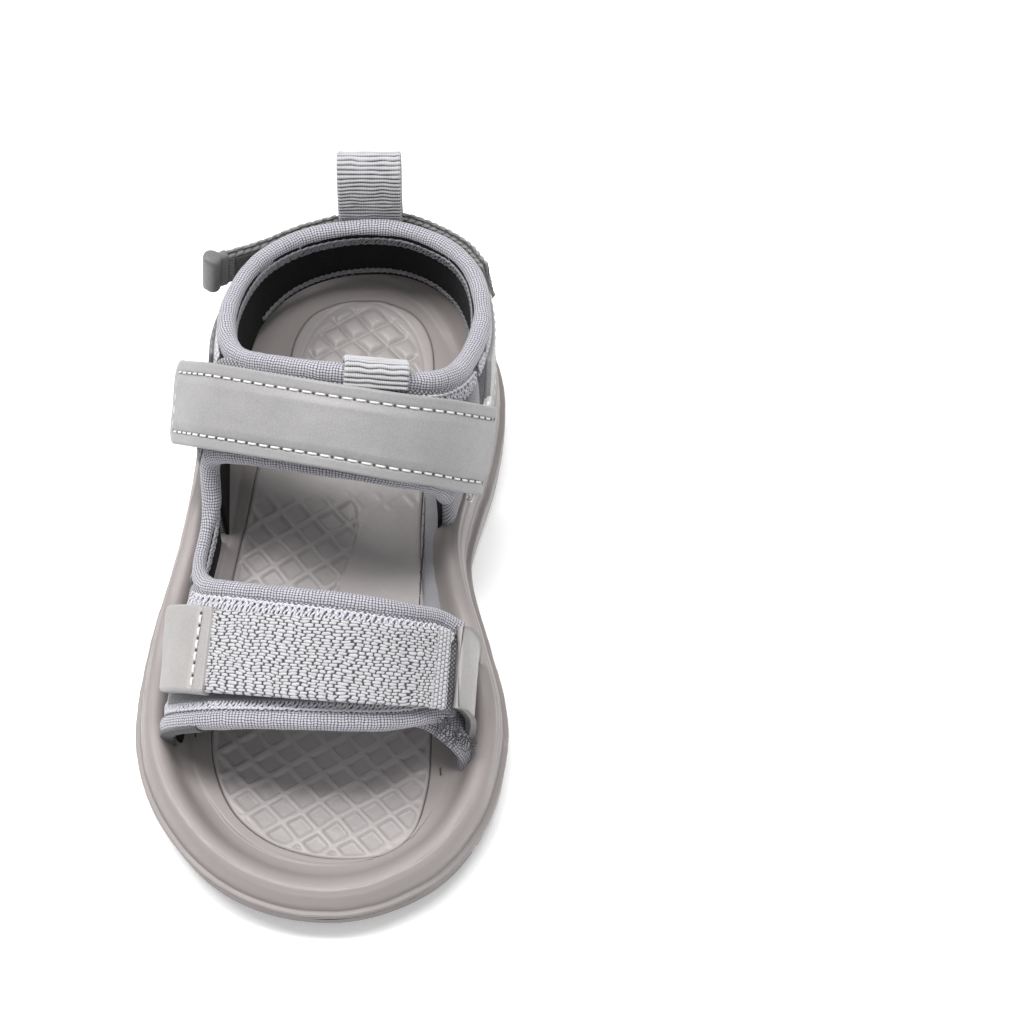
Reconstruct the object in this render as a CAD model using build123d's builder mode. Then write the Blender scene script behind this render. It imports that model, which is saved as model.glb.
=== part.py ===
from build123d import *
import math
import os

os.makedirs("parts", exist_ok=True)

# Child's closed-back sport sandal, right foot. Millimetres.
# Toe towards -Y, heel towards +Y, outer (lateral) side -X, inner (medial) side +X, +Z up.
# The origin is on the ground at the centre of the bounding box.

SHIFT_X = 0.14          # moves the design curves so that the bounding box is centred on the origin
SHIFT_Y = -0.15
FACE = 0.9               # outer textile
FOAM = 2.2               # foam between face and lining
LINING = 0.9             # inner textile
WALL = FACE + FOAM + LINING
TAPE = 0.55              # edge binding tape
TAPE_W = 5.6             # width of the tape on each side of an edge
PATCH = 0.9              # one half of a hook-and-loop pair
OUTSOLE_T = 4.5
INSERT_T = 4.0           # moulded footbed insert
BOARD_T = 1.2            # lasting board below the insert

# ---------------------------------------------------------------- outlines, seen from above
OUTLINE = [(0.8, -91.3), (15.5, -89.0), (29.8, -80.3), (39.3, -66.0), (43.1, -49.6), (42.9, -36.9), (39.6, -22.0), (35.7, -7.2),
           (34.5, 3.4), (36.6, 14.0), (40.4, 28.8), (42.5, 43.7), (42.1, 56.4), (38.7, 68.1), (30.6, 81.3), (18.8, 89.3),
           (5.5, 91.6), (-8.8, 88.7), (-21.0, 79.7), (-29.4, 67.0), (-32.8, 52.2), (-33.6, 37.3), (-34.9, 20.4), (-37.4, 2.9),
           (-40.9, -14.1), (-43.1, -29.5), (-43.6, -44.3), (-40.9, -58.1), (-34.8, -70.3), (-25.8, -80.9), (-13.6, -88.3)]
INSERT = [(-25.6, -45), (-24, -55.5), (-19.5, -65.5), (-12, -72.5), (-3, -76.2), (6, -77.4), (15, -76.4), (21.5, -71), (24.3, -61.5),
          (25.3, -51), (25, -35), (23.6, -15), (22.4, 0), (22.4, 15), (23.8, 35), (24.8, 52), (23.8, 62.5), (20, 70), (13, 74.2),
          (7, 75), (0, 73.8), (-6, 70), (-9.8, 62.5), (-11.3, 52), (-13.5, 40), (-17.5, 26), (-20, 10), (-22.6, -5), (-25, -25)]
# heights along the length: raised rim, and the top of the footbed
RIM = [(-96, 14.0), (-88, 15.6), (-70, 17.2), (-40, 18.6), (-12, 21.5), (10, 25.5), (40, 28.2), (70, 29.4), (96, 29.4)]
BED = [(-96, 11.2), (-80, 11.4), (-50, 12.4), (-20, 14.6), (5, 18.0), (30, 21.4), (55, 23.5), (96, 24.2)]

# ---------------------------------------------------------------- bands of the upper
# Each station is (front or top edge point, rear or bottom edge point) of the outer surface.
VAMP = [((-33.4, -47.6, 10.4), (-30.8, -17.6, 12.4)), ((-33.8, -48.6, 19.5), (-30.9, -16.9, 25.0)),
        ((-32.2, -52.3, 28.0), (-30.0, -17.0, 35.2)), ((-28.6, -55.8, 34.0), (-26.5, -20.6, 40.6)),
        ((-22.2, -58.0, 38.2), (-18.9, -24.7, 45.6)), ((-9.7, -59.8, 41.0), (-8.3, -28.4, 49.2)),
        ((3.7, -60.6, 41.5), (5.0, -31.2, 51.0)), ((15.8, -59.3, 38.9), (15.9, -32.0, 49.2)),
        ((22.6, -56.3, 35.3), (23.3, -30.6, 44.8)), ((27.6, -52.4, 31.0), (28.6, -28.4, 39.6))]
FLAP = [((32.0, -54.6, 10.4), (33.2, -28.0, 12.4)), ((32.2, -54.9, 16.5), (33.6, -27.6, 20.0)),
        ((29.6, -53.4, 21.0), (31.2, -27.4, 26.0)), ((24.8, -50.6, 24.0), (26.6, -28.4, 30.0)),
        ((19.8, -50.6, 26.6), (21.4, -30.2, 33.4))]
INSTEP = [((-27.6, 6.0, 14.6), (-28.4, 29.6, 17.8)), ((-28.4, 6.6, 30.0), (-28.6, 29.2, 38.0)),
          ((-28.6, 7.7, 43.0), (-26.8, 28.2, 56.0)), ((-26.4, 6.9, 49.2), (-22.9, 26.4, 65.0)),
          ((-16.8, 1.9, 55.0), (-12.6, 19.6, 72.2)), ((-4.7, -2.7, 58.2), (-1.2, 14.9, 75.6)),
          ((7.3, -5.0, 58.6), (9.8, 12.5, 76.6)), ((18.5, -4.5, 54.4), (21.4, 12.0, 74.2)),
          ((25.4, -1.4, 48.4), (30.2, 16.2, 69.6)), ((29.2, 2.2, 40.0), (35.4, 25.2, 62.2)),
          ((30.0, 4.4, 30.0), (37.0, 29.2, 46.0)), ((29.8, 5.2, 15.0), (36.0, 29.8, 18.0))]
SIDE = [((-30.9, -15.6, 34.0), (-31.2, -15.6, 12.6)), ((-30.0, -9.5, 32.8), (-30.4, -9.5, 13.2)),
        ((-28.7, -2.6, 33.8), (-29.2, -2.6, 13.8)), ((-28.0, 2.2, 35.2), (-28.3, 2.2, 14.2)),
        ((-28.1, 5.1, 37.4), (-27.9, 5.1, 14.4))]
HEEL = [((-23.9, 30.4, 64.6), (-28.8, 31.2, 18.2)), ((-24.6, 40.6, 61.4), (-28.6, 41.4, 19.0)),
        ((-23.2, 51.2, 58.4), (-26.4, 53.0, 21.0)), ((-18.9, 62.4, 56.0), (-21.8, 65.4, 26.8)),
        ((-11.0, 70.6, 54.4), (-13.6, 75.0, 29.0)), ((-0.9, 75.4, 53.4), (-2.6, 81.0, 29.4)),
        ((9.6, 77.0, 53.0), (9.0, 83.0, 29.4)), ((18.4, 76.0, 53.0), (19.2, 81.6, 29.4)),
        ((26.0, 72.0, 53.6), (28.2, 76.6, 29.2)), ((32.2, 66.4, 54.8), (34.6, 69.6, 28.0)),
        ((36.4, 58.6, 56.4), (38.0, 60.2, 26.0)), ((38.3, 50.2, 58.0), (38.6, 51.4, 21.0)),
        ((38.9, 41.0, 60.2), (37.6, 41.6, 19.0)), ((38.3, 32.4, 62.0), (36.2, 31.6, 18.2))]
# leather anchor on the inner side, from the sole up to the webbing's sewn end
KEEPER = [((35.8, -49.8, 11.0), (37.2, -30.4, 13.0)), ((36.6, -49.6, 20.0), (38.0, -30.8, 24.0)),
          ((36.4, -49.4, 26.0), (37.4, -31.4, 31.2)), ((34.4, -49.8, 31.0), (35.2, -32.0, 36.6)), ((31.9, -50.6, 33.8), (33.0, -33.2, 39.9))]
# outer faces of the two adjustment straps over the foot, free end first
VAMP_STRAP = [((-35.3, -45, 31.7), (-34.1, -26.9, 38.8)), ((-30.9, -49, 38.4), (-28.6, -30.6, 44.5)), ((-24.4, -52.2, 42.7), (-22.7, -33.8, 48.5)),
              ((-10.9, -55.7, 46.5), (-10, -38.3, 53.5)), ((2.7, -57.6, 47.6), (3.6, -41, 55.6)), ((14.6, -57.2, 45.4), (16.2, -40.7, 53)),
              ((22.7, -55.2, 41.2), (24.6, -38.3, 47.9)), ((29.2, -52.6, 35.6), (30.5, -35.1, 42)), ((34.3, -50.3, 30.5), (35.3, -32.5, 36.6))]
INSTEP_STRAP = [((-36.9, 17.7, 41.5), (-35, 33.4, 53.1)), ((-34.1, 13.4, 46.9), (-32, 29, 58.3)), ((-27.6, 6.4, 55), (-24.9, 21.3, 67.3)),
                ((-13.7, -1.2, 61.8), (-10.5, 12.5, 75)), ((1.6, -6.8, 65.3), (5.6, 7.3, 77.6)), ((16.7, -8.2, 62.4), (20.4, 6.2, 75.4)),
                ((26, -5.9, 56.8), (30.7, 9, 69.5)), ((32.2, -2.8, 50.4), (36.2, 13, 62.7)), ((36.9, 1.7, 43), (40.6, 17.8, 54.9))]


# ---------------------------------------------------------------- small vector helpers
def vsub(a, b):
    return tuple(p - q for p, q in zip(a, b))


def vadd(a, b, k=1.0):
    return tuple(p + q * k for p, q in zip(a, b))


def unit(a):
    length = math.sqrt(sum(p * p for p in a))
    return tuple(p / length for p in a)


def cross(a, b):
    return (a[1] * b[2] - a[2] * b[1], a[2] * b[0] - a[0] * b[2], a[0] * b[1] - a[1] * b[0])


def smooth(points, count, closed=False):
    """Points of a Catmull-Rom curve through the given ones."""
    n = len(points)
    spans = n if closed else n - 1
    total = count if closed else count - 1
    out = []
    for i in range(count):
        t = spans * i / total
        k = min(int(t), spans - 1)
        f = t - k
        if closed:
            p = [points[(k + j - 1) % n] for j in range(4)]
        else:
            first = vadd(points[0], vsub(points[0], points[1]))
            last = vadd(points[-1], vsub(points[-1], points[-2]))
            ext = [first] + list(points) + [last]
            p = ext[k:k + 4]
        out.append(tuple(0.5 * (2 * b + (c - a) * f + (2 * a - 5 * b + 4 * c - d) * f ** 2 + (3 * b - a - 3 * c + d) * f ** 3)
                         for a, b, c, d in zip(*p)))
    return out


def inset(points, distance, count):
    """A closed outline moved inwards (outline points run anticlockwise seen from above)."""
    dense = smooth(points, 240, True)
    out = []
    for i in range(0, 240, 240 // count):
        t = unit(vsub(dense[(i + 1) % 240], dense[i - 1]))
        out.append((dense[i][0] - t[1] * distance + SHIFT_X, dense[i][1] + t[0] * distance + SHIFT_Y))
    return out


def band(stations, count):
    """Evenly refined stations: (first edge, width direction, outward normal, path direction, width)."""
    a = smooth([s[0] for s in stations], count)
    b = smooth([s[1] for s in stations], count)
    a = [(p[0] + SHIFT_X, p[1] + SHIFT_Y, p[2]) for p in a]
    b = [(p[0] + SHIFT_X, p[1] + SHIFT_Y, p[2]) for p in b]
    mid = [vadd(p, vsub(q, p), 0.5) for p, q in zip(a, b)]
    out = []
    for i in range(count):
        t = vsub(mid[min(i + 1, count - 1)], mid[max(i - 1, 0)])
        x = unit(vsub(b[i], a[i]))
        n = unit(cross(t, x))
        width = math.sqrt(sum(p * p for p in vsub(b[i], a[i])))
        out.append((a[i], x, n, cross(x, n), width))
    return out


def layer(stations, top, bottom, start=0.0, stop=None, first=0, last=None):
    """Planes and sizes of one layer: from depth top to depth bottom (outwards positive), start to stop mm across the band."""
    out = []
    for a, x, n, z, width in stations[first:last]:
        end = width + stop if stop is not None and stop <= 0 else (width if stop is None else stop)
        origin = vadd(vadd(a, x, (start + end) / 2), n, (top + bottom) / 2)
        out.append((Plane(origin=origin, x_dir=x, z_dir=z), end - start, abs(top - bottom)))
    return out


def edging(stations, thickness, far=False, first=0, last=None, reach=TAPE_W, gap=0.1):
    """Planes and C-shaped outlines of the tape folded over one edge of a band."""
    out = []
    for a, x, n, z, width in stations[first:last]:
        s = -1 if far else 1
        corner = vadd(a, x, width) if far else a
        pts = [(-gap - TAPE, gap + TAPE), (reach, gap + TAPE), (reach, gap), (-gap, gap),
               (-gap, -thickness - gap), (reach, -thickness - gap), (reach, -thickness - gap - TAPE), (-gap - TAPE, -thickness - gap - TAPE)]
        out.append((Plane(origin=corner, x_dir=x, z_dir=z), [(s * p, q) for p, q in pts]))
    return out


vamp = band(VAMP, 28)
flap = band(FLAP, 13)
instep = band(INSTEP, 34)
side = band(SIDE, 13)
heel = band(HEEL, 40)
vamp_line = band(VAMP_STRAP, 25)
keeper = band(KEEPER, 13)
instep_line = band(INSTEP_STRAP, 25)

# ---------------------------------------------------------------- sole unit
with BuildPart() as outsole:
    with BuildSketch(Plane.XY):
        with BuildLine():
            Spline(*inset(OUTLINE, 2.0, 48), periodic=True)
        make_face()
    extrude(amount=OUTSOLE_T)
    # zigzag tread grooves across the bottom
    with BuildSketch(Plane.XY):
        for k in range(12):
            y = -72 + k * 13.2 + SHIFT_Y
            with BuildLine():
                Polyline((-46, y), (-23, y + 4), (0, y), (23, y + 4), (46, y), (46, y + 2.2), (23, y + 6.2), (0, y + 2.2), (-23, y + 6.2),
                         (-46, y + 2.2), close=True)
            make_face()
    extrude(amount=1.8, mode=Mode.SUBTRACT)
    # the tread rises towards the tip of the toe
    with BuildSketch(Plane.YZ):
        with BuildLine():
            Polyline((-58 + SHIFT_Y, 0), (-96 + SHIFT_Y, 3.6), (-96 + SHIFT_Y, -2), (-58 + SHIFT_Y, -2), close=True)
        make_face()
    extrude(amount=60, both=True, mode=Mode.SUBTRACT)
outsole.part.label = "outsole"
export_step(outsole.part, "parts/outsole.step")


def profile(heights, lift=0.0):
    return [(y + SHIFT_Y, z + lift) for y, z in heights]


with BuildPart() as midsole:
    with BuildSketch(Plane.XY.offset(OUTSOLE_T)):
        with BuildLine():
            Spline(*inset(OUTLINE, 0.0, 48), periodic=True)
        make_face()
    extrude(amount=40)
    # raised rim: cut everything above the side profile
    with BuildSketch(Plane.YZ):
        with BuildLine():
            Spline(*profile(RIM))
            Polyline((-96 + SHIFT_Y, 14.0), (-96 + SHIFT_Y, 60), (96 + SHIFT_Y, 60), (96 + SHIFT_Y, 29.4))
        make_face()
    extrude(amount=60, both=True, mode=Mode.SUBTRACT)
    fillet(midsole.edges().filter_by(lambda e: e.center().Z > 12.5 and e.length > 60), radius=3.2)
with BuildPart() as hollow:
    with BuildSketch(Plane.XY.offset(2)):
        with BuildLine():
            Spline(*inset(OUTLINE, 9.0, 40), periodic=True)
        make_face()
    extrude(amount=50)
    with BuildSketch(Plane.YZ):
        with BuildLine():
            Spline(*profile(BED))
            Polyline((-96 + SHIFT_Y, 11.2), (-96 + SHIFT_Y, 0), (96 + SHIFT_Y, 0), (96 + SHIFT_Y, 24.2))
        make_face()
    extrude(amount=60, both=True, mode=Mode.SUBTRACT)
with BuildPart() as recess:
    with BuildSketch(Plane.XY.offset(2)):
        with BuildLine():
            Spline(*inset(INSERT, -0.15, 40), periodic=True)
        make_face()
    extrude(amount=50)
    with BuildSketch(Plane.YZ):
        with BuildLine():
            Spline(*profile(BED, -INSERT_T - BOARD_T))
            Polyline((-96 + SHIFT_Y, 11.2 - INSERT_T - BOARD_T), (-96 + SHIFT_Y, 0), (96 + SHIFT_Y, 0),
                     (96 + SHIFT_Y, 24.2 - INSERT_T - BOARD_T))
        make_face()
    extrude(amount=60, both=True, mode=Mode.SUBTRACT)
# grooves that hold the lasted margins of the upper, outer side and inner side
SLOT_OUT = [(-35.0, -49.6), (-33.6, -32), (-32.2, -16), (-30.4, -6), (-29.2, 4), (-29.4, 20), (-30.2, 32), (-30.2, 44), (-28.2, 54.5),
            (-23.0, 51.5), (-24.4, 42), (-23.6, 32), (-22.8, 20), (-22.4, 4), (-25.0, -6), (-26.8, -16), (-28.4, -32), (-29.2, -47.0)]
SLOT_IN_F = [(34.6, -56.4), (35.8, -40), (35.8, -26.2), (31.0, -26.2), (30.6, -40), (28.6, -54.0)]
SLOT_IN_R = [(29.8, 3.6), (33.6, 16), (37.6, 30), (39.4, 42), (39.9, 53.4), (34.2, 53.0), (33.4, 42), (31.4, 31), (28.0, 18), (24.6, 6.4)]
with BuildPart() as grooves:
    for k, (ring, floor) in enumerate(((SLOT_OUT, 9.6), (SLOT_IN_F, 9.6), (SLOT_IN_R, 14.2))):
        with BuildSketch(Plane.XY.offset(floor)):
            with BuildLine():
                Polyline(*[(x + SHIFT_X, y + SHIFT_Y) for x, y in ring], close=True)
            make_face()
        extrude(amount=50)
with BuildPart() as midsole_cut:
    add(midsole.part)
    add(hollow.part, mode=Mode.SUBTRACT)
    add(recess.part, mode=Mode.SUBTRACT)
    add(grooves.part, mode=Mode.SUBTRACT)

# seats cut to the shape of the bands that stand in the sole
SEATS = (("heel seat", heel, 1.6, -WALL - 1.0, 0, 40), ("vamp seat", vamp, 0.25, -WALL - 0.25, 0, 8),
         ("flap seat", flap, 1.0, -3.2, 0, 9), ("anchor seat", keeper, 1.6, -0.3, 0, 9))
with BuildPart() as midsole_seated:
    add(midsole_cut.part)
for seat_name, stations, top, bottom, first, last in SEATS:
    with BuildPart() as seat:
        for plane, width, depth in layer(stations, top, bottom, 0.0, None, first, last):
            with BuildSketch(plane):
                Rectangle(width + 3.0, depth)
        loft(ruled=True)
    with BuildPart() as midsole_next:
        add(midsole_seated.part)
        add(seat.part, mode=Mode.SUBTRACT)
    midsole_seated = midsole_next
midsole_seated.part.label = "midsole"
export_step(midsole_seated.part, "parts/midsole.step")

with BuildPart() as footbed:
    with BuildSketch(Plane.XY.offset(2)):
        with BuildLine():
            Spline(*inset(INSERT, 0.0, 40), periodic=True)
        make_face()
    extrude(amount=50)
    with BuildSketch(Plane.YZ):
        with BuildLine():
            Spline(*profile(BED))
            Polyline((-96 + SHIFT_Y, 11.2), (-96 + SHIFT_Y, 80), (96 + SHIFT_Y, 80), (96 + SHIFT_Y, 24.2))
        make_face()
    extrude(amount=60, both=True, mode=Mode.SUBTRACT)
    with BuildSketch(Plane.YZ):
        with BuildLine():
            Spline(*profile(BED, -INSERT_T))
            Polyline((-96 + SHIFT_Y, 11.2 - INSERT_T), (-96 + SHIFT_Y, 0), (96 + SHIFT_Y, 0), (96 + SHIFT_Y, 24.2 - INSERT_T))
        make_face()
    extrude(amount=60, both=True, mode=Mode.SUBTRACT)
footbed.part.label = "footbed"
export_step(footbed.part, "parts/footbed.step")

with BuildPart() as lasting_board:
    with BuildSketch(Plane.XY.offset(1)):
        with BuildLine():
            Spline(*inset(INSERT, 0.2, 40), periodic=True)
        make_face()
    extrude(amount=50)
    with BuildSketch(Plane.YZ):
        with BuildLine():
            Spline(*profile(BED, -INSERT_T - 0.05))
            Polyline((-96 + SHIFT_Y, 11.15 - INSERT_T), (-96 + SHIFT_Y, 80), (96 + SHIFT_Y, 80), (96 + SHIFT_Y, 24.15 - INSERT_T))
        make_face()
    extrude(amount=60, both=True, mode=Mode.SUBTRACT)
    with BuildSketch(Plane.YZ):
        with BuildLine():
            Spline(*profile(BED, -INSERT_T - BOARD_T))
            Polyline((-96 + SHIFT_Y, 11.2 - INSERT_T - BOARD_T), (-96 + SHIFT_Y, 0), (96 + SHIFT_Y, 0),
                     (96 + SHIFT_Y, 24.2 - INSERT_T - BOARD_T))
        make_face()
    extrude(amount=60, both=True, mode=Mode.SUBTRACT)
lasting_board.part.label = "lasting_board"
export_step(lasting_board.part, "parts/lasting_board.step")

# ---------------------------------------------------------------- layered bands of the upper
LAYERS = (("face", 0.0, -FACE), ("foam", -FACE, -FACE - FOAM), ("lining", -FACE - FOAM, -WALL))
for band_name, stations in (("vamp", vamp), ("instep", instep), ("heel", heel)):
    for layer_name, top, bottom in LAYERS:
        with BuildPart() as upper_layer:
            for plane, width, depth in layer(stations, top, bottom):
                with BuildSketch(plane):
                    Rectangle(width, depth)
            loft(ruled=True)
        upper_layer.part.label = band_name + "_" + layer_name
        export_step(upper_layer.part, "parts/" + band_name + "_" + layer_name + ".step")

# thin two-layer wall that joins the vamp and the instep along the outer side
for layer_name, top, bottom in (("face", 0.0, -FACE), ("lining", -FACE, -2.4)):
    with BuildPart() as wall_layer:
        for plane, width, depth in layer(side, top, bottom):
            with BuildSketch(plane):
                Rectangle(width, depth)
        loft(ruled=True)
    wall_layer.part.label = "side_wall_" + layer_name
    export_step(wall_layer.part, "parts/side_wall_" + layer_name + ".step")

with BuildPart() as medial_flap:
    for plane, width, depth in layer(flap, 0.0, -2.2):
        with BuildSketch(plane):
            Rectangle(width, depth)
    loft(ruled=True)
medial_flap.part.label = "medial_flap"
export_step(medial_flap.part, "parts/medial_flap.step")

# ---------------------------------------------------------------- binding tape folded over the edges
BINDINGS = (("vamp_front_binding", vamp, WALL, False, 7, 28, 5.0),
            ("vamp_rear_binding", vamp, WALL, True, 8, 28, TAPE_W),
            ("side_wall_binding", side, 2.4, False, 1, 12, 4.6),
            ("instep_front_binding", instep, WALL, False, 8, 28, TAPE_W),
            ("instep_rear_binding", instep, WALL, True, 8, 28, TAPE_W),
            ("heel_top_binding", heel, WALL, False, 1, 39, TAPE_W),
            ("heel_lower_binding", heel, WALL, True, 10, 33, 4.0),
            ("medial_flap_binding", flap, 2.2, False, 3, 11, 4.0))
for tape_name, stations, thickness, far, first, last, reach in BINDINGS:
    with BuildPart() as tape:
        for plane, points in edging(stations, thickness, far, first, last, reach):
            with BuildSketch(plane):
                with BuildLine():
                    Polyline(*points, close=True)
                make_face()
        loft(ruled=True)
    tape.part.label = tape_name
    export_step(tape.part, "parts/" + tape_name + ".step")

# ---------------------------------------------------------------- overlays and fixed patches on the outer face
PANELS = (("lateral_overlay", heel, 1.0, 0.12, 8.0, -10.0, 0, 8),
          ("medial_overlay", heel, 1.2, 0.12, 8.0, -9.5, 30, 40),
          ("vamp_loop_patch", vamp, PATCH, 0.12, 6.4, -6.6, 9, 24),
          ("instep_loop_patch", instep, PATCH, 0.12, 6.4, -7.4, 9, 24))
for panel_name, stations, depth_out, lift, start, stop, first, last in PANELS:
    with BuildPart() as panel:
        for plane, width, depth in layer(stations, lift + depth_out, lift, start, stop, first, last):
            with BuildSketch(plane):
                Rectangle(width, depth)
        loft(ruled=True)
    panel.part.label = panel_name
    export_step(panel.part, "parts/" + panel_name + ".step")

# ---------------------------------------------------------------- vamp strap: webbing, leather end tab, hook patch
STRAPS = (("vamp_strap_webbing", vamp_line, 0.0, -1.5, 0.0, None, 4, 22),
          ("vamp_strap_hook", vamp_line, -1.55, -1.55 - PATCH, 1.2, -1.2, 8, 17),
          ("instep_strap_padding", instep_line, -1.1, -1.9, 1.6, -1.6, 2, 22),
          ("instep_strap_hook", instep_line, -1.95, -1.95 - PATCH, 2.0, -2.0, 3, 15))
for strap_name, stations, top, bottom, start, stop, first, last in STRAPS:
    with BuildPart() as strap:
        for plane, width, depth in layer(stations, top, bottom, start, stop, first, last):
            with BuildSketch(plane):
                Rectangle(width, depth)
        loft(ruled=True)
    strap.part.label = strap_name
    export_step(strap.part, "parts/" + strap_name + ".step")

# leather tab folded over the free end of the vamp webbing
with BuildPart() as vamp_tab:
    for plane, width, depth in layer(vamp_line, 0.9, -2.4, -0.4, None, 0, 7):
        with BuildSketch(plane):
            Rectangle(width + 0.4, depth)
    loft(ruled=True)
with BuildPart() as vamp_tab_pocket:
    for plane, width, depth in layer(vamp_line, 0.1, -1.6, -0.2, None, 4, 10):
        with BuildSketch(plane):
            Rectangle(width + 3.0, depth)
    loft(ruled=True)
with BuildPart() as vamp_strap_tab:
    add(vamp_tab.part)
    add(vamp_tab_pocket.part, mode=Mode.SUBTRACT)
vamp_strap_tab.part.label = "vamp_strap_tab"
export_step(vamp_strap_tab.part, "parts/vamp_strap_tab.step")

# leather anchor on the inner side that carries the vamp webbing's sewn end
with BuildPart() as vamp_strap_anchor:
    for plane, width, depth in layer(keeper, 1.3, 0.0):
        with BuildSketch(plane):
            Rectangle(width, depth)
    loft(ruled=True)
vamp_strap_anchor.part.label = "vamp_strap_anchor"
export_step(vamp_strap_anchor.part, "parts/vamp_strap_anchor.step")

# ---------------------------------------------------------------- instep strap ends in a fold round the ring
end_a, end_x, end_n, end_z, end_w = instep_line[24]
end_mid = vadd(end_a, end_x, end_w / 2)
FOLD_R = 1.65
fold_centre = vadd(end_mid, end_n, -0.55 - FOLD_R)
fold_planes = []
for k in range(1, 9):
    t = math.radians(22.5 * k)
    n = vadd(tuple(p * math.cos(t) for p in end_n), end_z, math.sin(t))
    z = vadd(tuple(p * math.cos(t) for p in end_z), end_n, -math.sin(t))
    fold_planes.append(Plane(origin=vadd(fold_centre, n, FOLD_R), x_dir=end_x, z_dir=z))
for a, x, n, z, width in (instep_line[23], instep_line[22]):
    mid = vadd(a, x, width / 2)
    fold_planes.append(Plane(origin=vadd(mid, n, -0.55 - 2 * FOLD_R), x_dir=x, z_dir=tuple(-p for p in z)))
with BuildPart() as instep_strap_leather:
    for plane, width, depth in layer(instep_line, 0.0, -1.1):
        with BuildSketch(plane):
            Rectangle(width, depth)
    for plane in fold_planes:
        with BuildSketch(plane):
            Rectangle(end_w, 1.1)
    loft(ruled=True)
instep_strap_leather.part.label = "instep_strap_leather"
export_step(instep_strap_leather.part, "parts/instep_strap_leather.step")

# moulded rectangular ring: one bar inside the fold, the other held by the ring tab
RING_BAR = 1.2
RING_L = 7.0
hang = (-0.20, 0.20, -1.0)
dot = sum(p * q for p, q in zip(hang, end_x))
ring_z = unit(vadd(hang, end_x, -dot))
ring_n = cross(ring_z, end_x)
ring_mid = vadd(fold_centre, ring_z, RING_L / 2 - RING_BAR / 2)
with BuildPart() as instep_ring:
    with BuildSketch(Plane(origin=vadd(ring_mid, ring_n, -RING_BAR / 2), x_dir=end_x, z_dir=ring_n)):
        RectangleRounded(end_w + 5.0, RING_L, 1.2)
        Rectangle(end_w + 1.2, RING_L - 2 * RING_BAR, mode=Mode.SUBTRACT)
    extrude(amount=RING_BAR)
instep_ring.part.label = "instep_ring"
export_step(instep_ring.part, "parts/instep_ring.step")

# webbing tab that passes through the ring and lies on the inner side of the instep band
bar = vadd(ring_mid, ring_z, RING_L / 2 - RING_BAR / 2)
down_a, down_x, down_n, down_z, down_w = instep[29]
low_a, low_x, low_n, low_z, low_w = instep[30]
tab_planes = [Plane(origin=vadd(vadd(low_a, low_x, low_w * 0.5), low_n, 0.75), x_dir=low_x, z_dir=tuple(-p for p in low_z)),
              Plane(origin=vadd(vadd(down_a, down_x, down_w * 0.5), down_n, 0.75), x_dir=down_x, z_dir=tuple(-p for p in down_z))]
for k in range(0, 8):
    t = math.radians(-30.0 * k + 15)
    n = vadd(tuple(p * math.cos(t) for p in ring_n), ring_z, math.sin(t))
    z = vadd(tuple(p * math.sin(t) for p in ring_n), ring_z, -math.cos(t))
    tab_planes.append(Plane(origin=vadd(bar, n, 1.75), x_dir=end_x, z_dir=z))
with BuildPart() as instep_ring_tab:
    for plane in tab_planes:
        with BuildSketch(plane):
            Rectangle(end_w - 6.0, 0.9)
    loft(ruled=True)
instep_ring_tab.part.label = "instep_ring_tab"
export_step(instep_ring_tab.part, "parts/instep_ring_tab.step")

# ---------------------------------------------------------------- ribbon loops
rib_a, rib_x, rib_n, rib_z, rib_w = instep[19]
rib_edge = vadd(rib_a, rib_x, rib_w)
RIB_PATH = smooth([(-3.6, 1.5), (-1.6, 1.6), (0.2, 1.5), (1.35, 0.6), (1.75, -1.4), (1.7, -4.0), (0.9, -6.2), (-1.0, -6.9), (-3.4, -7.0)], 22)
with BuildPart() as tongue_loop:
    for k in range(22):
        u, v = RIB_PATH[k]
        du, dv = vsub(RIB_PATH[min(k + 1, 21)], RIB_PATH[max(k - 1, 0)])
        direction = unit(vadd(tuple(p * du for p in rib_x), rib_n, dv))
        with BuildSketch(Plane(origin=vadd(vadd(rib_edge, rib_x, u), rib_n, v), x_dir=rib_z, z_dir=direction)):
            Rectangle(14.6, 0.8)
    loft(ruled=True)
tongue_loop.part.label = "tongue_loop"
export_step(tongue_loop.part, "parts/tongue_loop.step")

# pull tab: folded ribbon standing up behind the collar, both legs sewn to the heel band
PULL = smooth([(80.2, 43.6), (78.6, 53.0), (79.2, 60.0), (80.8, 65.2), (83.8, 67.6), (86.9, 65.2), (86.6, 59.5), (83.2, 53.0), (85.3, 43.6)], 36)
with BuildPart() as pull_tab:
    for k in range(36):
        y, z = PULL[k]
        dy, dz = vsub(PULL[min(k + 1, 35)], PULL[max(k - 1, 0)])
        with BuildSketch(Plane(origin=(9.5 + SHIFT_X, y + SHIFT_Y, z), x_dir=(1, 0, 0), z_dir=unit((0, dy, dz)))):
            Rectangle(15.4, 0.9)
    loft(ruled=True)
pull_tab.part.label = "pull_tab"
export_step(pull_tab.part, "parts/pull_tab.step")

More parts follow.
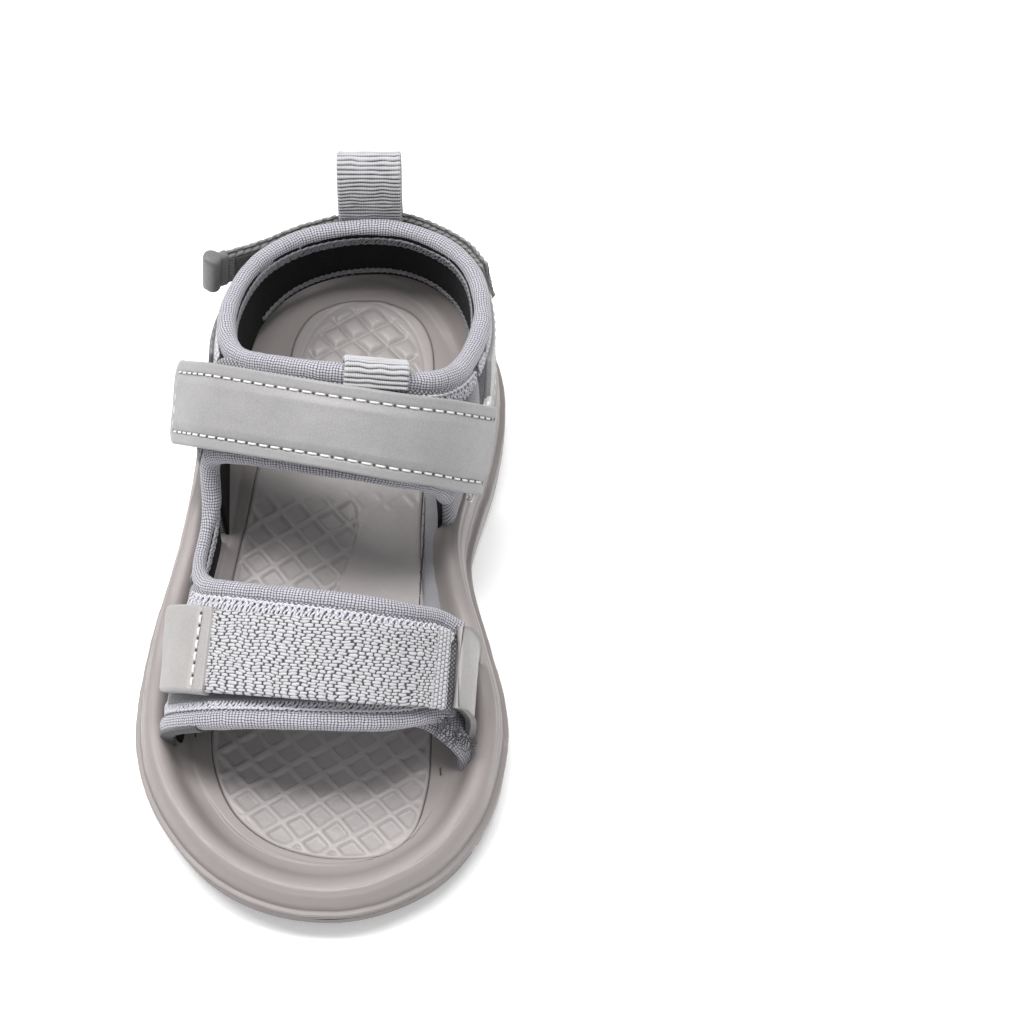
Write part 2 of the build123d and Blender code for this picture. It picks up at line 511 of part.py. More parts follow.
# ---------------------------------------------------------------- heel strap: fixed half, free half, tab, hook-and-loop
FIXED = [((1.4, 80.9, 49.8), (1.4, 84.2, 35.2)), ((9.6, 81.6, 50.2), (9.4, 84.9, 35.6)), ((18.6, 80.6, 50.8), (19.2, 83.6, 36.2)),
         ((27, 75.9, 51.7), (28.6, 78.6, 37.1)), ((33.8, 69.4, 53.2), (35.8, 71.6, 38.4)), ((38.2, 61.4, 55.1), (39.9, 62.8, 40.1))]
FREE = [((0.3, 80.9, 50), (0.2, 84.3, 35.4)), ((-8, 77, 50.7), (-9.2, 80.4, 36.2)), ((-16.5, 71.6, 51.7), (-18, 75, 37.2)),
        ((-24, 66.6, 54), (-25.6, 69.8, 39.5)), ((-30.4, 62.6, 56), (-31.8, 65.4, 41.5))]
fixed_line = band(FIXED, 16)
free_line = band([(a, b) for a, b in reversed(FREE)], 16)
HEEL_PARTS = (("heel_webbing_fixed", fixed_line, 0.0, -1.5, 0.0, None, 0, 16),
              ("heel_strap_webbing", free_line, 0.0, -1.5, 0.0, None, 2, 16),
              ("heel_strap_hook", free_line, -1.55, -1.55 - PATCH, 1.2, -1.2, 4, 10),
              ("heel_loop_patch", heel, 1.2 + PATCH, 1.2, 9.4, 22.4, 1, 8))
for piece_name, stations, top, bottom, start, stop, first, last in HEEL_PARTS:
    with BuildPart() as heel_piece:
        for plane, width, depth in layer(stations, top, bottom, start, stop, first, last):
            with BuildSketch(plane):
                Rectangle(width, depth)
        loft(ruled=True)
    heel_piece.part.label = piece_name
    export_step(heel_piece.part, "parts/" + piece_name + ".step")

with BuildPart() as heel_tab_outer:
    for plane, width, depth in layer(free_line, 1.1, -2.6, -0.3, None, 0, 4):
        with BuildSketch(plane):
            Rectangle(width + 0.3, depth)
    loft(ruled=True)
with BuildPart() as heel_tab_pocket:
    for plane, width, depth in layer(free_line, 0.1, -1.6, -0.2, None, 2, 6):
        with BuildSketch(plane):
            Rectangle(width + 3.0, depth)
    loft(ruled=True)
with BuildPart() as heel_strap_tab:
    add(heel_tab_outer.part)
    add(heel_tab_pocket.part, mode=Mode.SUBTRACT)
heel_strap_tab.part.label = "heel_strap_tab"
export_step(heel_strap_tab.part, "parts/heel_strap_tab.step")
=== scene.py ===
import math
import random

import bpy
import numpy as np
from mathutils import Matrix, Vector


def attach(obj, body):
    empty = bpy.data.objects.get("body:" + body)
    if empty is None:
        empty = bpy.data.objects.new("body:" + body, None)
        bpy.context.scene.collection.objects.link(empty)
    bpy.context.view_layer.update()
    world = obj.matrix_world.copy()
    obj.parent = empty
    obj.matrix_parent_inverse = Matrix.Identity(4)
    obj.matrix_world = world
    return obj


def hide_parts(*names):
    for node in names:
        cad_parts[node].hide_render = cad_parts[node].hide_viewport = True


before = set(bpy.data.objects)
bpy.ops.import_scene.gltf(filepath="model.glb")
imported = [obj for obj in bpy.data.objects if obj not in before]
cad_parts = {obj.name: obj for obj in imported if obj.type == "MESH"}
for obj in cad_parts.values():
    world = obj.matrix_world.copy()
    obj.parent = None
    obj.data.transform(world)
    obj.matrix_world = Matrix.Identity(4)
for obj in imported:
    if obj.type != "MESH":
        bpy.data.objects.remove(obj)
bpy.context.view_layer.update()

# ------------------------------------------------------------------ design numbers, mm, same frame as the CAD
SX, SY = 0.14, -0.15
OUTLINE = [(0.8, -91.3), (15.5, -89.0), (29.8, -80.3), (39.3, -66.0), (43.1, -49.6), (42.9, -36.9), (39.6, -22.0), (35.7, -7.2),
           (34.5, 3.4), (36.6, 14.0), (40.4, 28.8), (42.5, 43.7), (42.1, 56.4), (38.7, 68.1), (30.6, 81.3), (18.8, 89.3),
           (5.5, 91.6), (-8.8, 88.7), (-21.0, 79.7), (-29.4, 67.0), (-32.8, 52.2), (-33.6, 37.3), (-34.9, 20.4), (-37.4, 2.9),
           (-40.9, -14.1), (-43.1, -29.5), (-43.6, -44.3), (-40.9, -58.1), (-34.8, -70.3), (-25.8, -80.9), (-13.6, -88.3)]
INSERT = [(-25.6, -45), (-24, -55.5), (-19.5, -65.5), (-12, -72.5), (-3, -76.2), (6, -77.4), (15, -76.4), (21.5, -71), (24.3, -61.5),
          (25.3, -51), (25, -35), (23.6, -15), (22.4, 0), (22.4, 15), (23.8, 35), (24.8, 52), (23.8, 62.5), (20, 70), (13, 74.2),
          (7, 75), (0, 73.8), (-6, 70), (-9.8, 62.5), (-11.3, 52), (-13.5, 40), (-17.5, 26), (-20, 10), (-22.6, -5), (-25, -25)]
RIM = [(-96, 14.0), (-88, 15.6), (-70, 17.2), (-40, 18.6), (-12, 21.5), (10, 25.5), (40, 28.2), (70, 29.4), (96, 29.4)]
BED = [(-96, 11.2), (-80, 11.4), (-50, 12.4), (-20, 14.6), (5, 18.0), (30, 21.4), (55, 23.5), (96, 24.2)]
VAMP = [((-33.4, -47.6, 10.4), (-30.8, -17.6, 12.4)), ((-33.8, -48.6, 19.5), (-30.9, -16.9, 25.0)),
        ((-32.2, -52.3, 28.0), (-30.0, -17.0, 35.2)), ((-28.6, -55.8, 34.0), (-26.5, -20.6, 40.6)),
        ((-22.2, -58.0, 38.2), (-18.9, -24.7, 45.6)), ((-9.7, -59.8, 41.0), (-8.3, -28.4, 49.2)),
        ((3.7, -60.6, 41.5), (5.0, -31.2, 51.0)), ((15.8, -59.3, 38.9), (15.9, -32.0, 49.2)),
        ((22.6, -56.3, 35.3), (23.3, -30.6, 44.8)), ((27.6, -52.4, 31.0), (28.6, -28.4, 39.6))]
FLAP = [((32.0, -54.6, 10.4), (33.2, -28.0, 12.4)), ((32.2, -54.9, 16.5), (33.6, -27.6, 20.0)),
        ((29.6, -53.4, 21.0), (31.2, -27.4, 26.0)), ((24.8, -50.6, 24.0), (26.6, -28.4, 30.0)),
        ((19.8, -50.6, 26.6), (21.4, -30.2, 33.4))]
INSTEP = [((-27.6, 6.0, 14.6), (-28.4, 29.6, 17.8)), ((-28.4, 6.6, 30.0), (-28.6, 29.2, 38.0)),
          ((-28.6, 7.7, 43.0), (-26.8, 28.2, 56.0)), ((-26.4, 6.9, 49.2), (-22.9, 26.4, 65.0)),
          ((-16.8, 1.9, 55.0), (-12.6, 19.6, 72.2)), ((-4.7, -2.7, 58.2), (-1.2, 14.9, 75.6)),
          ((7.3, -5.0, 58.6), (9.8, 12.5, 76.6)), ((18.5, -4.5, 54.4), (21.4, 12.0, 74.2)),
          ((25.4, -1.4, 48.4), (30.2, 16.2, 69.6)), ((29.2, 2.2, 40.0), (35.4, 25.2, 62.2)),
          ((30.0, 4.4, 30.0), (37.0, 29.2, 46.0)), ((29.8, 5.2, 15.0), (36.0, 29.8, 18.0))]
SIDE = [((-30.9, -15.6, 34.0), (-31.2, -15.6, 12.6)), ((-30.0, -9.5, 32.8), (-30.4, -9.5, 13.2)),
        ((-28.7, -2.6, 33.8), (-29.2, -2.6, 13.8)), ((-28.0, 2.2, 35.2), (-28.3, 2.2, 14.2)),
        ((-28.1, 5.1, 37.4), (-27.9, 5.1, 14.4))]
HEEL = [((-23.9, 30.4, 64.6), (-28.8, 31.2, 18.2)), ((-24.6, 40.6, 61.4), (-28.6, 41.4, 19.0)),
        ((-23.2, 51.2, 58.4), (-26.4, 53.0, 21.0)), ((-18.9, 62.4, 56.0), (-21.8, 65.4, 26.8)),
        ((-11.0, 70.6, 54.4), (-13.6, 75.0, 29.0)), ((-0.9, 75.4, 53.4), (-2.6, 81.0, 29.4)),
        ((9.6, 77.0, 53.0), (9.0, 83.0, 29.4)), ((18.4, 76.0, 53.0), (19.2, 81.6, 29.4)),
        ((26.0, 72.0, 53.6), (28.2, 76.6, 29.2)), ((32.2, 66.4, 54.8), (34.6, 69.6, 28.0)),
        ((36.4, 58.6, 56.4), (38.0, 60.2, 26.0)), ((38.3, 50.2, 58.0), (38.6, 51.4, 21.0)),
        ((38.9, 41.0, 60.2), (37.6, 41.6, 19.0)), ((38.3, 32.4, 62.0), (36.2, 31.6, 18.2))]
KEEPER = [((35.8, -49.8, 11.0), (37.2, -30.4, 13.0)), ((36.6, -49.6, 20.0), (38.0, -30.8, 24.0)),
          ((36.4, -49.4, 26.0), (37.4, -31.4, 31.2)), ((34.4, -49.8, 31.0), (35.2, -32.0, 36.6)), ((31.9, -50.6, 33.8), (33.0, -33.2, 39.9))]
INSTEP_STRAP = [((-36.9, 17.7, 41.5), (-35, 33.4, 53.1)), ((-34.1, 13.4, 46.9), (-32, 29, 58.3)), ((-27.6, 6.4, 55), (-24.9, 21.3, 67.3)),
                ((-13.7, -1.2, 61.8), (-10.5, 12.5, 75)), ((1.6, -6.8, 65.3), (5.6, 7.3, 77.6)), ((16.7, -8.2, 62.4), (20.4, 6.2, 75.4)),
                ((26, -5.9, 56.8), (30.7, 9, 69.5)), ((32.2, -2.8, 50.4), (36.2, 13, 62.7)), ((36.9, 1.7, 43), (40.6, 17.8, 54.9))]
VAMP_STRAP = [((-35.3, -45, 31.7), (-34.1, -26.9, 38.8)), ((-30.9, -49, 38.4), (-28.6, -30.6, 44.5)), ((-24.4, -52.2, 42.7), (-22.7, -33.8, 48.5)),
              ((-10.9, -55.7, 46.5), (-10, -38.3, 53.5)), ((2.7, -57.6, 47.6), (3.6, -41, 55.6)), ((14.6, -57.2, 45.4), (16.2, -40.7, 53)),
              ((22.7, -55.2, 41.2), (24.6, -38.3, 47.9)), ((29.2, -52.6, 35.6), (30.5, -35.1, 42)), ((34.3, -50.3, 30.5), (35.3, -32.5, 36.6))]
FIXED = [((1.4, 80.9, 49.8), (1.4, 84.2, 35.2)), ((9.6, 81.6, 50.2), (9.4, 84.9, 35.6)), ((18.6, 80.6, 50.8), (19.2, 83.6, 36.2)),
         ((27, 75.9, 51.7), (28.6, 78.6, 37.1)), ((33.8, 69.4, 53.2), (35.8, 71.6, 38.4)), ((38.2, 61.4, 55.1), (39.9, 62.8, 40.1))]
FREE = [((-30.4, 62.6, 56), (-31.8, 65.4, 41.5)), ((-24, 66.6, 54), (-25.6, 69.8, 39.5)), ((-16.5, 71.6, 51.7), (-18, 75, 37.2)),
        ((-8, 77, 50.7), (-9.2, 80.4, 36.2)), ((0.3, 80.9, 50), (0.2, 84.3, 35.4))]
PULL = [(80.2, 43.6), (78.6, 53.0), (79.2, 60.0), (80.8, 65.2), (83.8, 67.6), (86.9, 65.2), (86.6, 59.5), (83.2, 53.0), (85.3, 43.6)]
RIBBON = [(-3.6, 1.5), (-1.6, 1.6), (0.2, 1.7), (1.6, 0.8), (2.1, -1.4), (2.0, -4.0), (0.9, -6.2), (-1.0, -6.9), (-3.4, -7.0)]
WALL = 4.0
SIN55, COS55 = math.sin(math.radians(55)), math.cos(math.radians(55))

# camera first: it stands where the photographer's did
cam_data = bpy.data.cameras.new("camera")
cam = bpy.data.objects.new("camera", cam_data)
bpy.context.scene.collection.objects.link(cam)
cam.location = Vector(((41.7 * 1.06 + SX) * 0.001, ((-740 * COS55 + 25.2) * 1.06 + SY) * 0.001, 740 * SIN55 * 1.06 * 0.001))
cam.rotation_euler = (math.radians(35), 0, 0)
cam_data.sensor_width = 36
cam_data.lens = 3150 / 1024 * 36
cam_data.clip_start, cam_data.clip_end = 0.05, 20
bpy.context.scene.camera = cam


# ------------------------------------------------------------------ geometry helpers
def catmull(points, count, closed=False):
    p = np.array(points, float)
    n = len(p)
    spans = n if closed else n - 1
    if closed:
        t = np.linspace(0, spans, count, endpoint=False)
    else:
        t = np.linspace(0, spans, count)
    return catmull_at(p, t, closed)


def catmull_at(p, t, closed=False):
    p = np.array(p, float)
    n = len(p)
    spans = n if closed else n - 1
    k = np.minimum(t.astype(int), spans - 1)
    f = (t - k)[:, None]
    if closed:
        q = [p[(k + j - 1) % n] for j in range(4)]
    else:
        e = np.vstack([2 * p[0] - p[1], p, 2 * p[-1] - p[-2]])
        q = [e[k + j] for j in range(4)]
    a, b, c, d = q
    return 0.5 * (2 * b + (c - a) * f + (2 * a - 5 * b + 4 * c - d) * f ** 2 + (3 * b - a - 3 * c + d) * f ** 3)


def norm(v):
    return v / np.maximum(np.linalg.norm(v, axis=-1, keepdims=True), 1e-9)


class Band:
    """A surface between two edge curves: frames along it with across direction x, outward normal n and along direction z."""

    def __init__(self, stations, count, t0=0.0, t1=1.0, shift=True):
        m = len(stations) - 1
        t = np.linspace(t0 * m, t1 * m, count)
        a = catmull_at([s[0] for s in stations], t)
        b = catmull_at([s[1] for s in stations], t)
        if shift:
            a = a + np.array([SX, SY, 0])
            b = b + np.array([SX, SY, 0])
        mid = (a + b) / 2
        tan = np.gradient(mid, axis=0)
        self.a, self.b = a, b
        self.x = norm(b - a)
        self.w = np.linalg.norm(b - a, axis=1)
        self.n = norm(np.cross(tan, self.x))
        self.z = np.cross(self.x, self.n)
        self.s = np.concatenate([[0], np.cumsum(np.linalg.norm(np.diff(mid, axis=0), axis=1))])
        self.count = count

    def at(self, i, s, d):
        return self.a[i] + self.x[i] * s + self.n[i] * d


def mesh_from(name, verts, faces, uvs=None, attrs=None, smooth=True):
    """verts in mm; uvs per vertex in mm."""
    me = bpy.data.meshes.new(name)
    v = np.asarray(verts, float) * 0.001
    faces = np.asarray(faces)
    me.vertices.add(len(v))
    me.vertices.foreach_set("co", v.astype(np.float32).ravel())
    nf, k = faces.shape
    me.loops.add(nf * k)
    me.loops.foreach_set("vertex_index", faces.astype(np.int32).ravel())
    me.polygons.add(nf)
    me.polygons.foreach_set("loop_start", (np.arange(nf) * k).astype(np.int32))
    if uvs is not None:
        layer = me.uv_layers.new(name="UVMap")
        uv = np.asarray(uvs, float)[faces.ravel()]
        layer.data.foreach_set("uv", uv.astype(np.float32).ravel())
    for an, av in (attrs or {}).items():
        at = me.attributes.new(an, "FLOAT", "POINT")
        at.data.foreach_set("value", np.asarray(av, np.float32).ravel())
    me.update(calc_edges=True)
    me.validate()
    if smooth:
        me.polygons.foreach_set("use_smooth", np.ones(len(me.polygons), bool))
    ob = bpy.data.objects.new(name, me)
    bpy.context.scene.collection.objects.link(ob)
    return ob


def grid_faces(nu, nv, close_u=False, close_v=False, base=0):
    iu = np.arange(nu if close_u else nu - 1)
    iv = np.arange(nv if close_v else nv - 1)
    i, j = np.meshgrid(iu, iv, indexing="ij")
    i2, j2 = (i + 1) % nu, (j + 1) % nv
    f = np.stack([i * nv + j, i2 * nv + j, i2 * nv + j2, i * nv + j2], -1).reshape(-1, 4)
    return f + base


def lofted(name, band, profile, caps=True, attrs=None, disp=None, flip=False):
    """Closed cross-sections carried along a band. profile(i) gives (m, 2) points (across, depth) in order round the section."""
    secs = np.array([profile(i) for i in range(band.count)])
    n, m = secs.shape[:2]
    pts = band.a[:, None, :] + band.x[:, None, :] * secs[..., 0:1] + band.n[:, None, :] * secs[..., 1:2]
    arc = np.concatenate([np.zeros((n, 1)), np.cumsum(np.linalg.norm(np.diff(secs, axis=1), axis=2), axis=1)], 1)
    u = np.repeat(band.s[:, None], m, 1)
    uv = np.stack([u, arc], -1).reshape(-1, 2)
    f = grid_faces(n, m, False, True)
    v = pts.reshape(-1, 3)
    if caps:
        c0, c1 = len(v), len(v) + 1
        v = np.vstack([v, pts[0].mean(0), pts[-1].mean(0)])
        uv = np.vstack([uv, [band.s[0], 0], [band.s[-1], 0]])
        j = np.arange(m)
        j2 = (j + 1) % m
        caps_f = np.vstack([np.stack([np.full(m, c0), j, j2, np.full(m, c0)], -1),
                            np.stack([np.full(m, c1), (n - 1) * m + j2, (n - 1) * m + j, np.full(m, c1)], -1)])
        tri = caps_f[:, :3]
        ob = mixed_mesh(name, v, f, tri, uv)
    else:
        ob = mesh_from(name, v, f, uv)
    return ob


def mixed_mesh(name, v, quads, tris, uv=None, attrs=None):
    me = bpy.data.meshes.new(name)
    vv = np.asarray(v, float) * 0.001
    me.vertices.add(len(vv))
    me.vertices.foreach_set("co", vv.astype(np.float32).ravel())
    idx = np.concatenate([np.asarray(quads).ravel(), np.asarray(tris).ravel()]).astype(np.int32)
    nq, nt = len(quads), len(tris)
    me.loops.add(len(idx))
    me.loops.foreach_set("vertex_index", idx)
    me.polygons.add(nq + nt)
    starts = np.concatenate([np.arange(nq) * 4, nq * 4 + np.arange(nt) * 3]).astype(np.int32)
    me.polygons.foreach_set("loop_start", starts)
    if uv is not None:
        layer = me.uv_layers.new(name="UVMap")
        layer.data.foreach_set("uv", np.asarray(uv, float)[idx].astype(np.float32).ravel())
    for an, av in (attrs or {}).items():
        at = me.attributes.new(an, "FLOAT", "POINT")
        at.data.foreach_set("value", np.asarray(av, np.float32).ravel())
    me.update(calc_edges=True)
    me.validate()
    me.polygons.foreach_set("use_smooth", np.ones(len(me.polygons), bool))
    ob = bpy.data.objects.new(name, me)
    bpy.context.scene.collection.objects.link(ob)
    return ob


def round_box(w, top, bottom, r, nflat=24, start=0.0):
    """Rounded rectangle section from (start, top) across to (start + w, top), round the far edge and back along the bottom."""
    r = min(r, abs(top - bottom) / 2 * 0.98)
    a = np.linspace(0, math.pi / 2, 4)
    x0, x1 = start, start + w
    p = [(x, top) for x in np.linspace(x0 + r, x1 - r, nflat)]
    p += [(x1 - r + r * math.sin(t), top - r + r * math.cos(t)) for t in a[1:]]
    p += [(x1 - r + r * math.cos(t), bottom + r - r * math.sin(t)) for t in a]
    p += [(x, bottom) for x in np.linspace(x1 - r, x0 + r, nflat)][1:]
    p += [(x0 + r - r * math.sin(t), bottom + r - r * math.cos(t)) for t in a[1:]]
    p += [(x0 + r - r * math.cos(t), top - r + r * math.sin(t)) for t in a[:-1]]
    return np.array(p)


def tube_mesh(name, paths, radius, sides=6, closed=False, uv=None):
    """Thread tubes along point lists, all in one mesh."""
    V, F, UV = [], [], []
    base = 0
    for path in paths:
        p = np.asarray(path, float)
        n = len(p)
        t = norm(np.gradient(p, axis=0))
        ref = np.array([0.0, 0.0, 1.0])
        b = np.cross(t, ref)
        bad = np.linalg.norm(b, axis=1) < 0.05
        b[bad] = np.cross(t[bad], np.array([1.0, 0, 0]))
        b = norm(b)
        c = np.cross(t, b)
        rad = radius if np.ndim(radius) else np.full(n, radius)
        rr = np.array(rad, float)
        if not closed:
            rr = rr.copy()
            rr[0] *= 0.45
            rr[-1] *= 0.45
        ang = np.linspace(0, 2 * math.pi, sides, endpoint=False)
        ring = p[:, None, :] + rr[:, None, None] * (np.cos(ang)[None, :, None] * b[:, None, :] + np.sin(ang)[None, :, None] * c[:, None, :])
        V.append(ring.reshape(-1, 3))
        s = np.concatenate([[0], np.cumsum(np.linalg.norm(np.diff(p, axis=0), axis=1))])
        UV.append(np.stack([np.repeat(s, sides), np.tile(ang * radius if np.ndim(radius) == 0 else ang, n)], -1))
        F.append(grid_faces(n, sides, False, True, base))
        caps = []
        base += n * sides
    return mesh_from(name, np.vstack(V), np.vstack(F), np.vstack(UV))




class Edge:
    """Frames along an edge: point p, direction x into the cloth, outward normal n."""

    def __init__(self, p, x, n, count, soften=0, closed=False):
        p, x, n = (np.asarray(q, float) for q in (p, x, n))
        for _ in range(soften):
            if closed:
                p = (np.roll(p, 1, 0) + 2 * p + np.roll(p, -1, 0)) / 4
                x = (np.roll(x, 1, 0) + 2 * x + np.roll(x, -1, 0)) / 4
                n = (np.roll(n, 1, 0) + 2 * n + np.roll(n, -1, 0)) / 4
            else:
                for q in (p, x, n):
                    q[1:-1] = (q[:-2] + 2 * q[1:-1] + q[2:]) / 4
        if closed:
            p, x, n = (np.vstack([q, q[:1]]) for q in (p, x, n))
        s = np.concatenate([[0], np.cumsum(np.linalg.norm(np.diff(p, axis=0), axis=1))])
        t = np.linspace(0, s[-1], count + 1 if closed else count)
        p = np.stack([np.interp(t, s, p[:, k]) for k in range(3)], 1)
        x = np.stack([np.interp(t, s, x[:, k]) for k in range(3)], 1)
        n = np.stack([np.interp(t, s, n[:, k]) for k in range(3)], 1)
        if closed:
            p, x, n, t = p[:-1], x[:-1], n[:-1], t[:-1]
        tan = norm(np.roll(p, -1, 0) - np.roll(p, 1, 0)) if closed else norm(np.gradient(p, axis=0))
        n = norm(n - tan * (n * tan).sum(1, keepdims=True))
        x = x - tan * (x * tan).sum(1, keepdims=True)
        x = norm(x - n * (x * n).sum(1, keepdims=True))
        self.p, self.x, self.n, self.t, self.s = p, x, n, tan, t
        self.count, self.closed = count, closed

    def at(self, s_along, across, depth):
        """Points at arc lengths s_along, distance across into the cloth and depth out of it."""
        s_along = np.asarray(s_along, float)
        k = [np.interp(s_along, self.s, self.p[:, j]) for j in range(3)]
        xx = [np.interp(s_along, self.s, self.x[:, j]) for j in range(3)]
        nn = [np.interp(s_along, self.s, self.n[:, j]) for j in range(3)]
        return np.stack(k, 1) + np.stack(xx, 1) * np.asarray(across)[..., None] + np.stack(nn, 1) * np.asarray(depth)[..., None]


def swept(name, edge, section):
    """A closed section (m, 2) of (across, depth), or one per frame, carried along an edge."""
    sec = np.array([section(i) for i in range(edge.count)]) if callable(section) else np.repeat(np.asarray(section)[None], edge.count, 0)
    n, m = sec.shape[:2]
    pts = edge.p[:, None] + edge.x[:, None] * sec[..., 0:1] + edge.n[:, None] * sec[..., 1:2]
    arc = np.concatenate([np.zeros((n, 1)), np.cumsum(np.linalg.norm(np.diff(sec, axis=1), axis=2), axis=1)], 1)
    uv = np.stack([np.repeat(edge.s[:, None], m, 1), arc], -1).reshape(-1, 2)
    quads = grid_faces(n, m, edge.closed, True)
    v = pts.reshape(-1, 3)
    if edge.closed:
        return mesh_from(name, v, quads, uv)
    v = np.vstack([v, pts[0].mean(0), pts[-1].mean(0)])
    uv = np.vstack([uv, [0, 0], [edge.s[-1], 0]])
    j = np.arange(m)
    j2 = (j + 1) % m
    c0 = n * m
    tris = np.vstack([np.stack([np.full(m, c0), j, j2], -1), np.stack([np.full(m, c0 + 1), (n - 1) * m + j2, (n - 1) * m + j], -1)])
    return mixed_mesh(name, v, quads, tris, uv)


def edge_of(band, far=False, lo=0, hi=None):
    sl = slice(lo, hi)
    if far:
        return band.b[sl], -band.x[sl], band.n[sl]
    return band.a[sl], band.x[sl], band.n[sl]


def joined(*parts):
    return tuple(np.vstack([q[k] for q in parts]) for k in range(3))


def flipped(part):
    return tuple(q[::-1] for q in part)


# ------------------------------------------------------------------ materials
class Mat:
    def __init__(self, name):
        self.m = bpy.data.materials.new(name)
        self.m.use_nodes = True
        self.t = self.m.node_tree
        self.t.nodes.clear()
        self.out = self.add("ShaderNodeOutputMaterial")
        self.b = self.add("ShaderNodeBsdfPrincipled")
        self.link(self.b.outputs[0], self.out.inputs["Surface"])
        self.uv = self.add("ShaderNodeTexCoord").outputs["UV"]
        self.obj = [n for n in self.t.nodes if n.type == "TEX_COORD"][0].outputs["Object"]

    def add(self, kind, **props):
        n = self.t.nodes.new(kind)
        for k, v in props.items():
            setattr(n, k, v)
        return n

    def link(self, a, b):
        self.t.links.new(a, b)

    def val(self, sock, v):
        if hasattr(v, "is_output") or hasattr(v, "links"):
            self.link(v, sock)
        else:
            sock.default_value = v

    def math(self, op, a, b=0.0, c=0.0, clamp=False):
        n = self.add("ShaderNodeMath", operation=op, use_clamp=clamp)
        for k, v in enumerate((a, b, c)):
            self.val(n.inputs[k], v)
        return n.outputs[0]

    def sep(self, v):
        n = self.add("ShaderNodeSeparateXYZ")
        self.link(v, n.inputs[0])
        return n.outputs

    def mapping(self, v, scale=(1, 1, 1), rot=(0, 0, 0), loc=(0, 0, 0)):
        n = self.add("ShaderNodeMapping")
        self.link(v, n.inputs[0])
        n.inputs["Scale"].default_value = scale
        n.inputs["Rotation"].default_value = rot
        n.inputs["Location"].default_value = loc
        return n.outputs[0]

    def noise(self, v, scale, detail=3.0, rough=0.5, dist=0.0):
        n = self.add("ShaderNodeTexNoise")
        self.link(v, n.inputs["Vector"])
        n.inputs["Scale"].default_value = scale
        n.inputs["Detail"].default_value = detail
        n.inputs["Roughness"].default_value = rough
        n.inputs["Distortion"].default_value = dist
        return n.outputs[0]

    def voronoi(self, v, scale, feature="F1", rand=1.0):
        n = self.add("ShaderNodeTexVoronoi", feature=feature)
        self.link(v, n.inputs["Vector"])
        n.inputs["Scale"].default_value = scale
        n.inputs["Randomness"].default_value = rand
        return n.outputs[0]

    def ramp(self, f, stops):
        n = self.add("ShaderNodeValToRGB")
        self.link(f, n.inputs[0])
        el = n.color_ramp.elements
        while len(el) > 1:
            el.remove(el[-1])
        el[0].position, el[0].color = stops[0][0], (*stops[0][1], 1)
        for p, c in stops[1:]:
            e = el.new(p)
            e.color = (*c, 1)
        return n.outputs[0]

    def mix(self, f, a, b, mode="MIX"):
        n = self.add("ShaderNodeMix", data_type="RGBA", blend_type=mode)
        self.val(n.inputs[0], f)
        for k, v in ((6, a), (7, b)):
            if isinstance(v, tuple):
                n.inputs[k].default_value = (*v, 1)
            else:
                self.link(v, n.inputs[k])
        return n.outputs[2]

    def attr(self, name):
        n = self.add("ShaderNodeAttribute", attribute_name=name)
        return n.outputs["Fac"]

    def bump(self, h, strength, dist_mm, prev=None):
        n = self.add("ShaderNodeBump")
        self.link(h, n.inputs["Height"])
        n.inputs["Strength"].default_value = strength
        n.inputs["Distance"].default_value = dist_mm * 0.001
        if prev is not None:
            self.link(prev, n.inputs["Normal"])
        return n.outputs[0]

    def finish(self, color, rough, normal=None, sheen=0.0, spec=0.5, sheen_rough=0.5, coat=0.0, sss=0.0):
        self.val(self.b.inputs["Base Color"], (*color, 1) if isinstance(color, tuple) else color)
        self.val(self.b.inputs["Roughness"], rough)
        if normal is not None:
            self.link(normal, self.b.inputs["Normal"])
        self.b.inputs["Sheen Weight"].default_value = sheen
        self.b.inputs["Sheen Roughness"].default_value = sheen_rough
        self.b.inputs["Specular IOR Level"].default_value = spec
        self.b.inputs["Coat Weight"].default_value = coat
        return self.m


def shade(c, k):
    return tuple(min(1.0, q * k) for q in c)


def eva(name, color, mottling=0.05, use_cell_shade_and_scuffs=False):
    """Moulded foam: fine pore skin, faint flow mottling; optionally painted shade darkening the sunken quilt cells,
    plus random pale scuffs.
    """
    m = Mat(name)
    big = m.noise(m.obj, 35, 4, 0.55)
    fine = m.noise(m.obj, 900, 3, 0.6)
    pores = m.voronoi(m.obj, 1500, "F1")
    c = m.ramp(big, [(0.3, shade(color, 1 - mottling)), (0.7, shade(color, 1 + mottling))])
    specks = m.ramp(pores, [(0.0, shade(color, 0.80)), (0.18, color), (1.0, color)])
    c = m.mix(0.35, c, specks, "MULTIPLY")
    c = m.mix(0.30, c, specks)
    if use_cell_shade_and_scuffs:
        # painted shade: the per-vertex attribute darkens the sunken quilt cells and keeps the raised lines lighter; the
        # scuffs below are real wear
        w = m.attr("cell_shade")
        c = m.mix(1.0, c, m.ramp(w, [(0.15, (0.90, 0.89, 0.90)), (0.5, (0.97,) * 3), (0.9, (1.0,) * 3)]), "MULTIPLY")
        scuff = m.noise(m.mapping(m.obj, (1, 1.6, 1), (0, 0, 0.6)), 420, 5, 0.75, 1.5)
        c = m.mix(m.ramp(scuff, [(0.60, (0, 0, 0)), (0.74, (0.34,) * 3)]), c, (0.55, 0.52, 0.51))
    r = m.ramp(m.noise(m.obj, 120, 4, 0.6), [(0.3, (0.34,) * 3), (0.75, (0.52,) * 3)])
    nrm = m.bump(fine, 0.22, 0.12)
    nrm = m.bump(m.noise(m.obj, 260, 3, 0.5), 0.18, 0.25, nrm)
    nrm = m.bump(pores, 0.10, 0.10, nrm)
    return m.finish(c, r, nrm, spec=0.40)


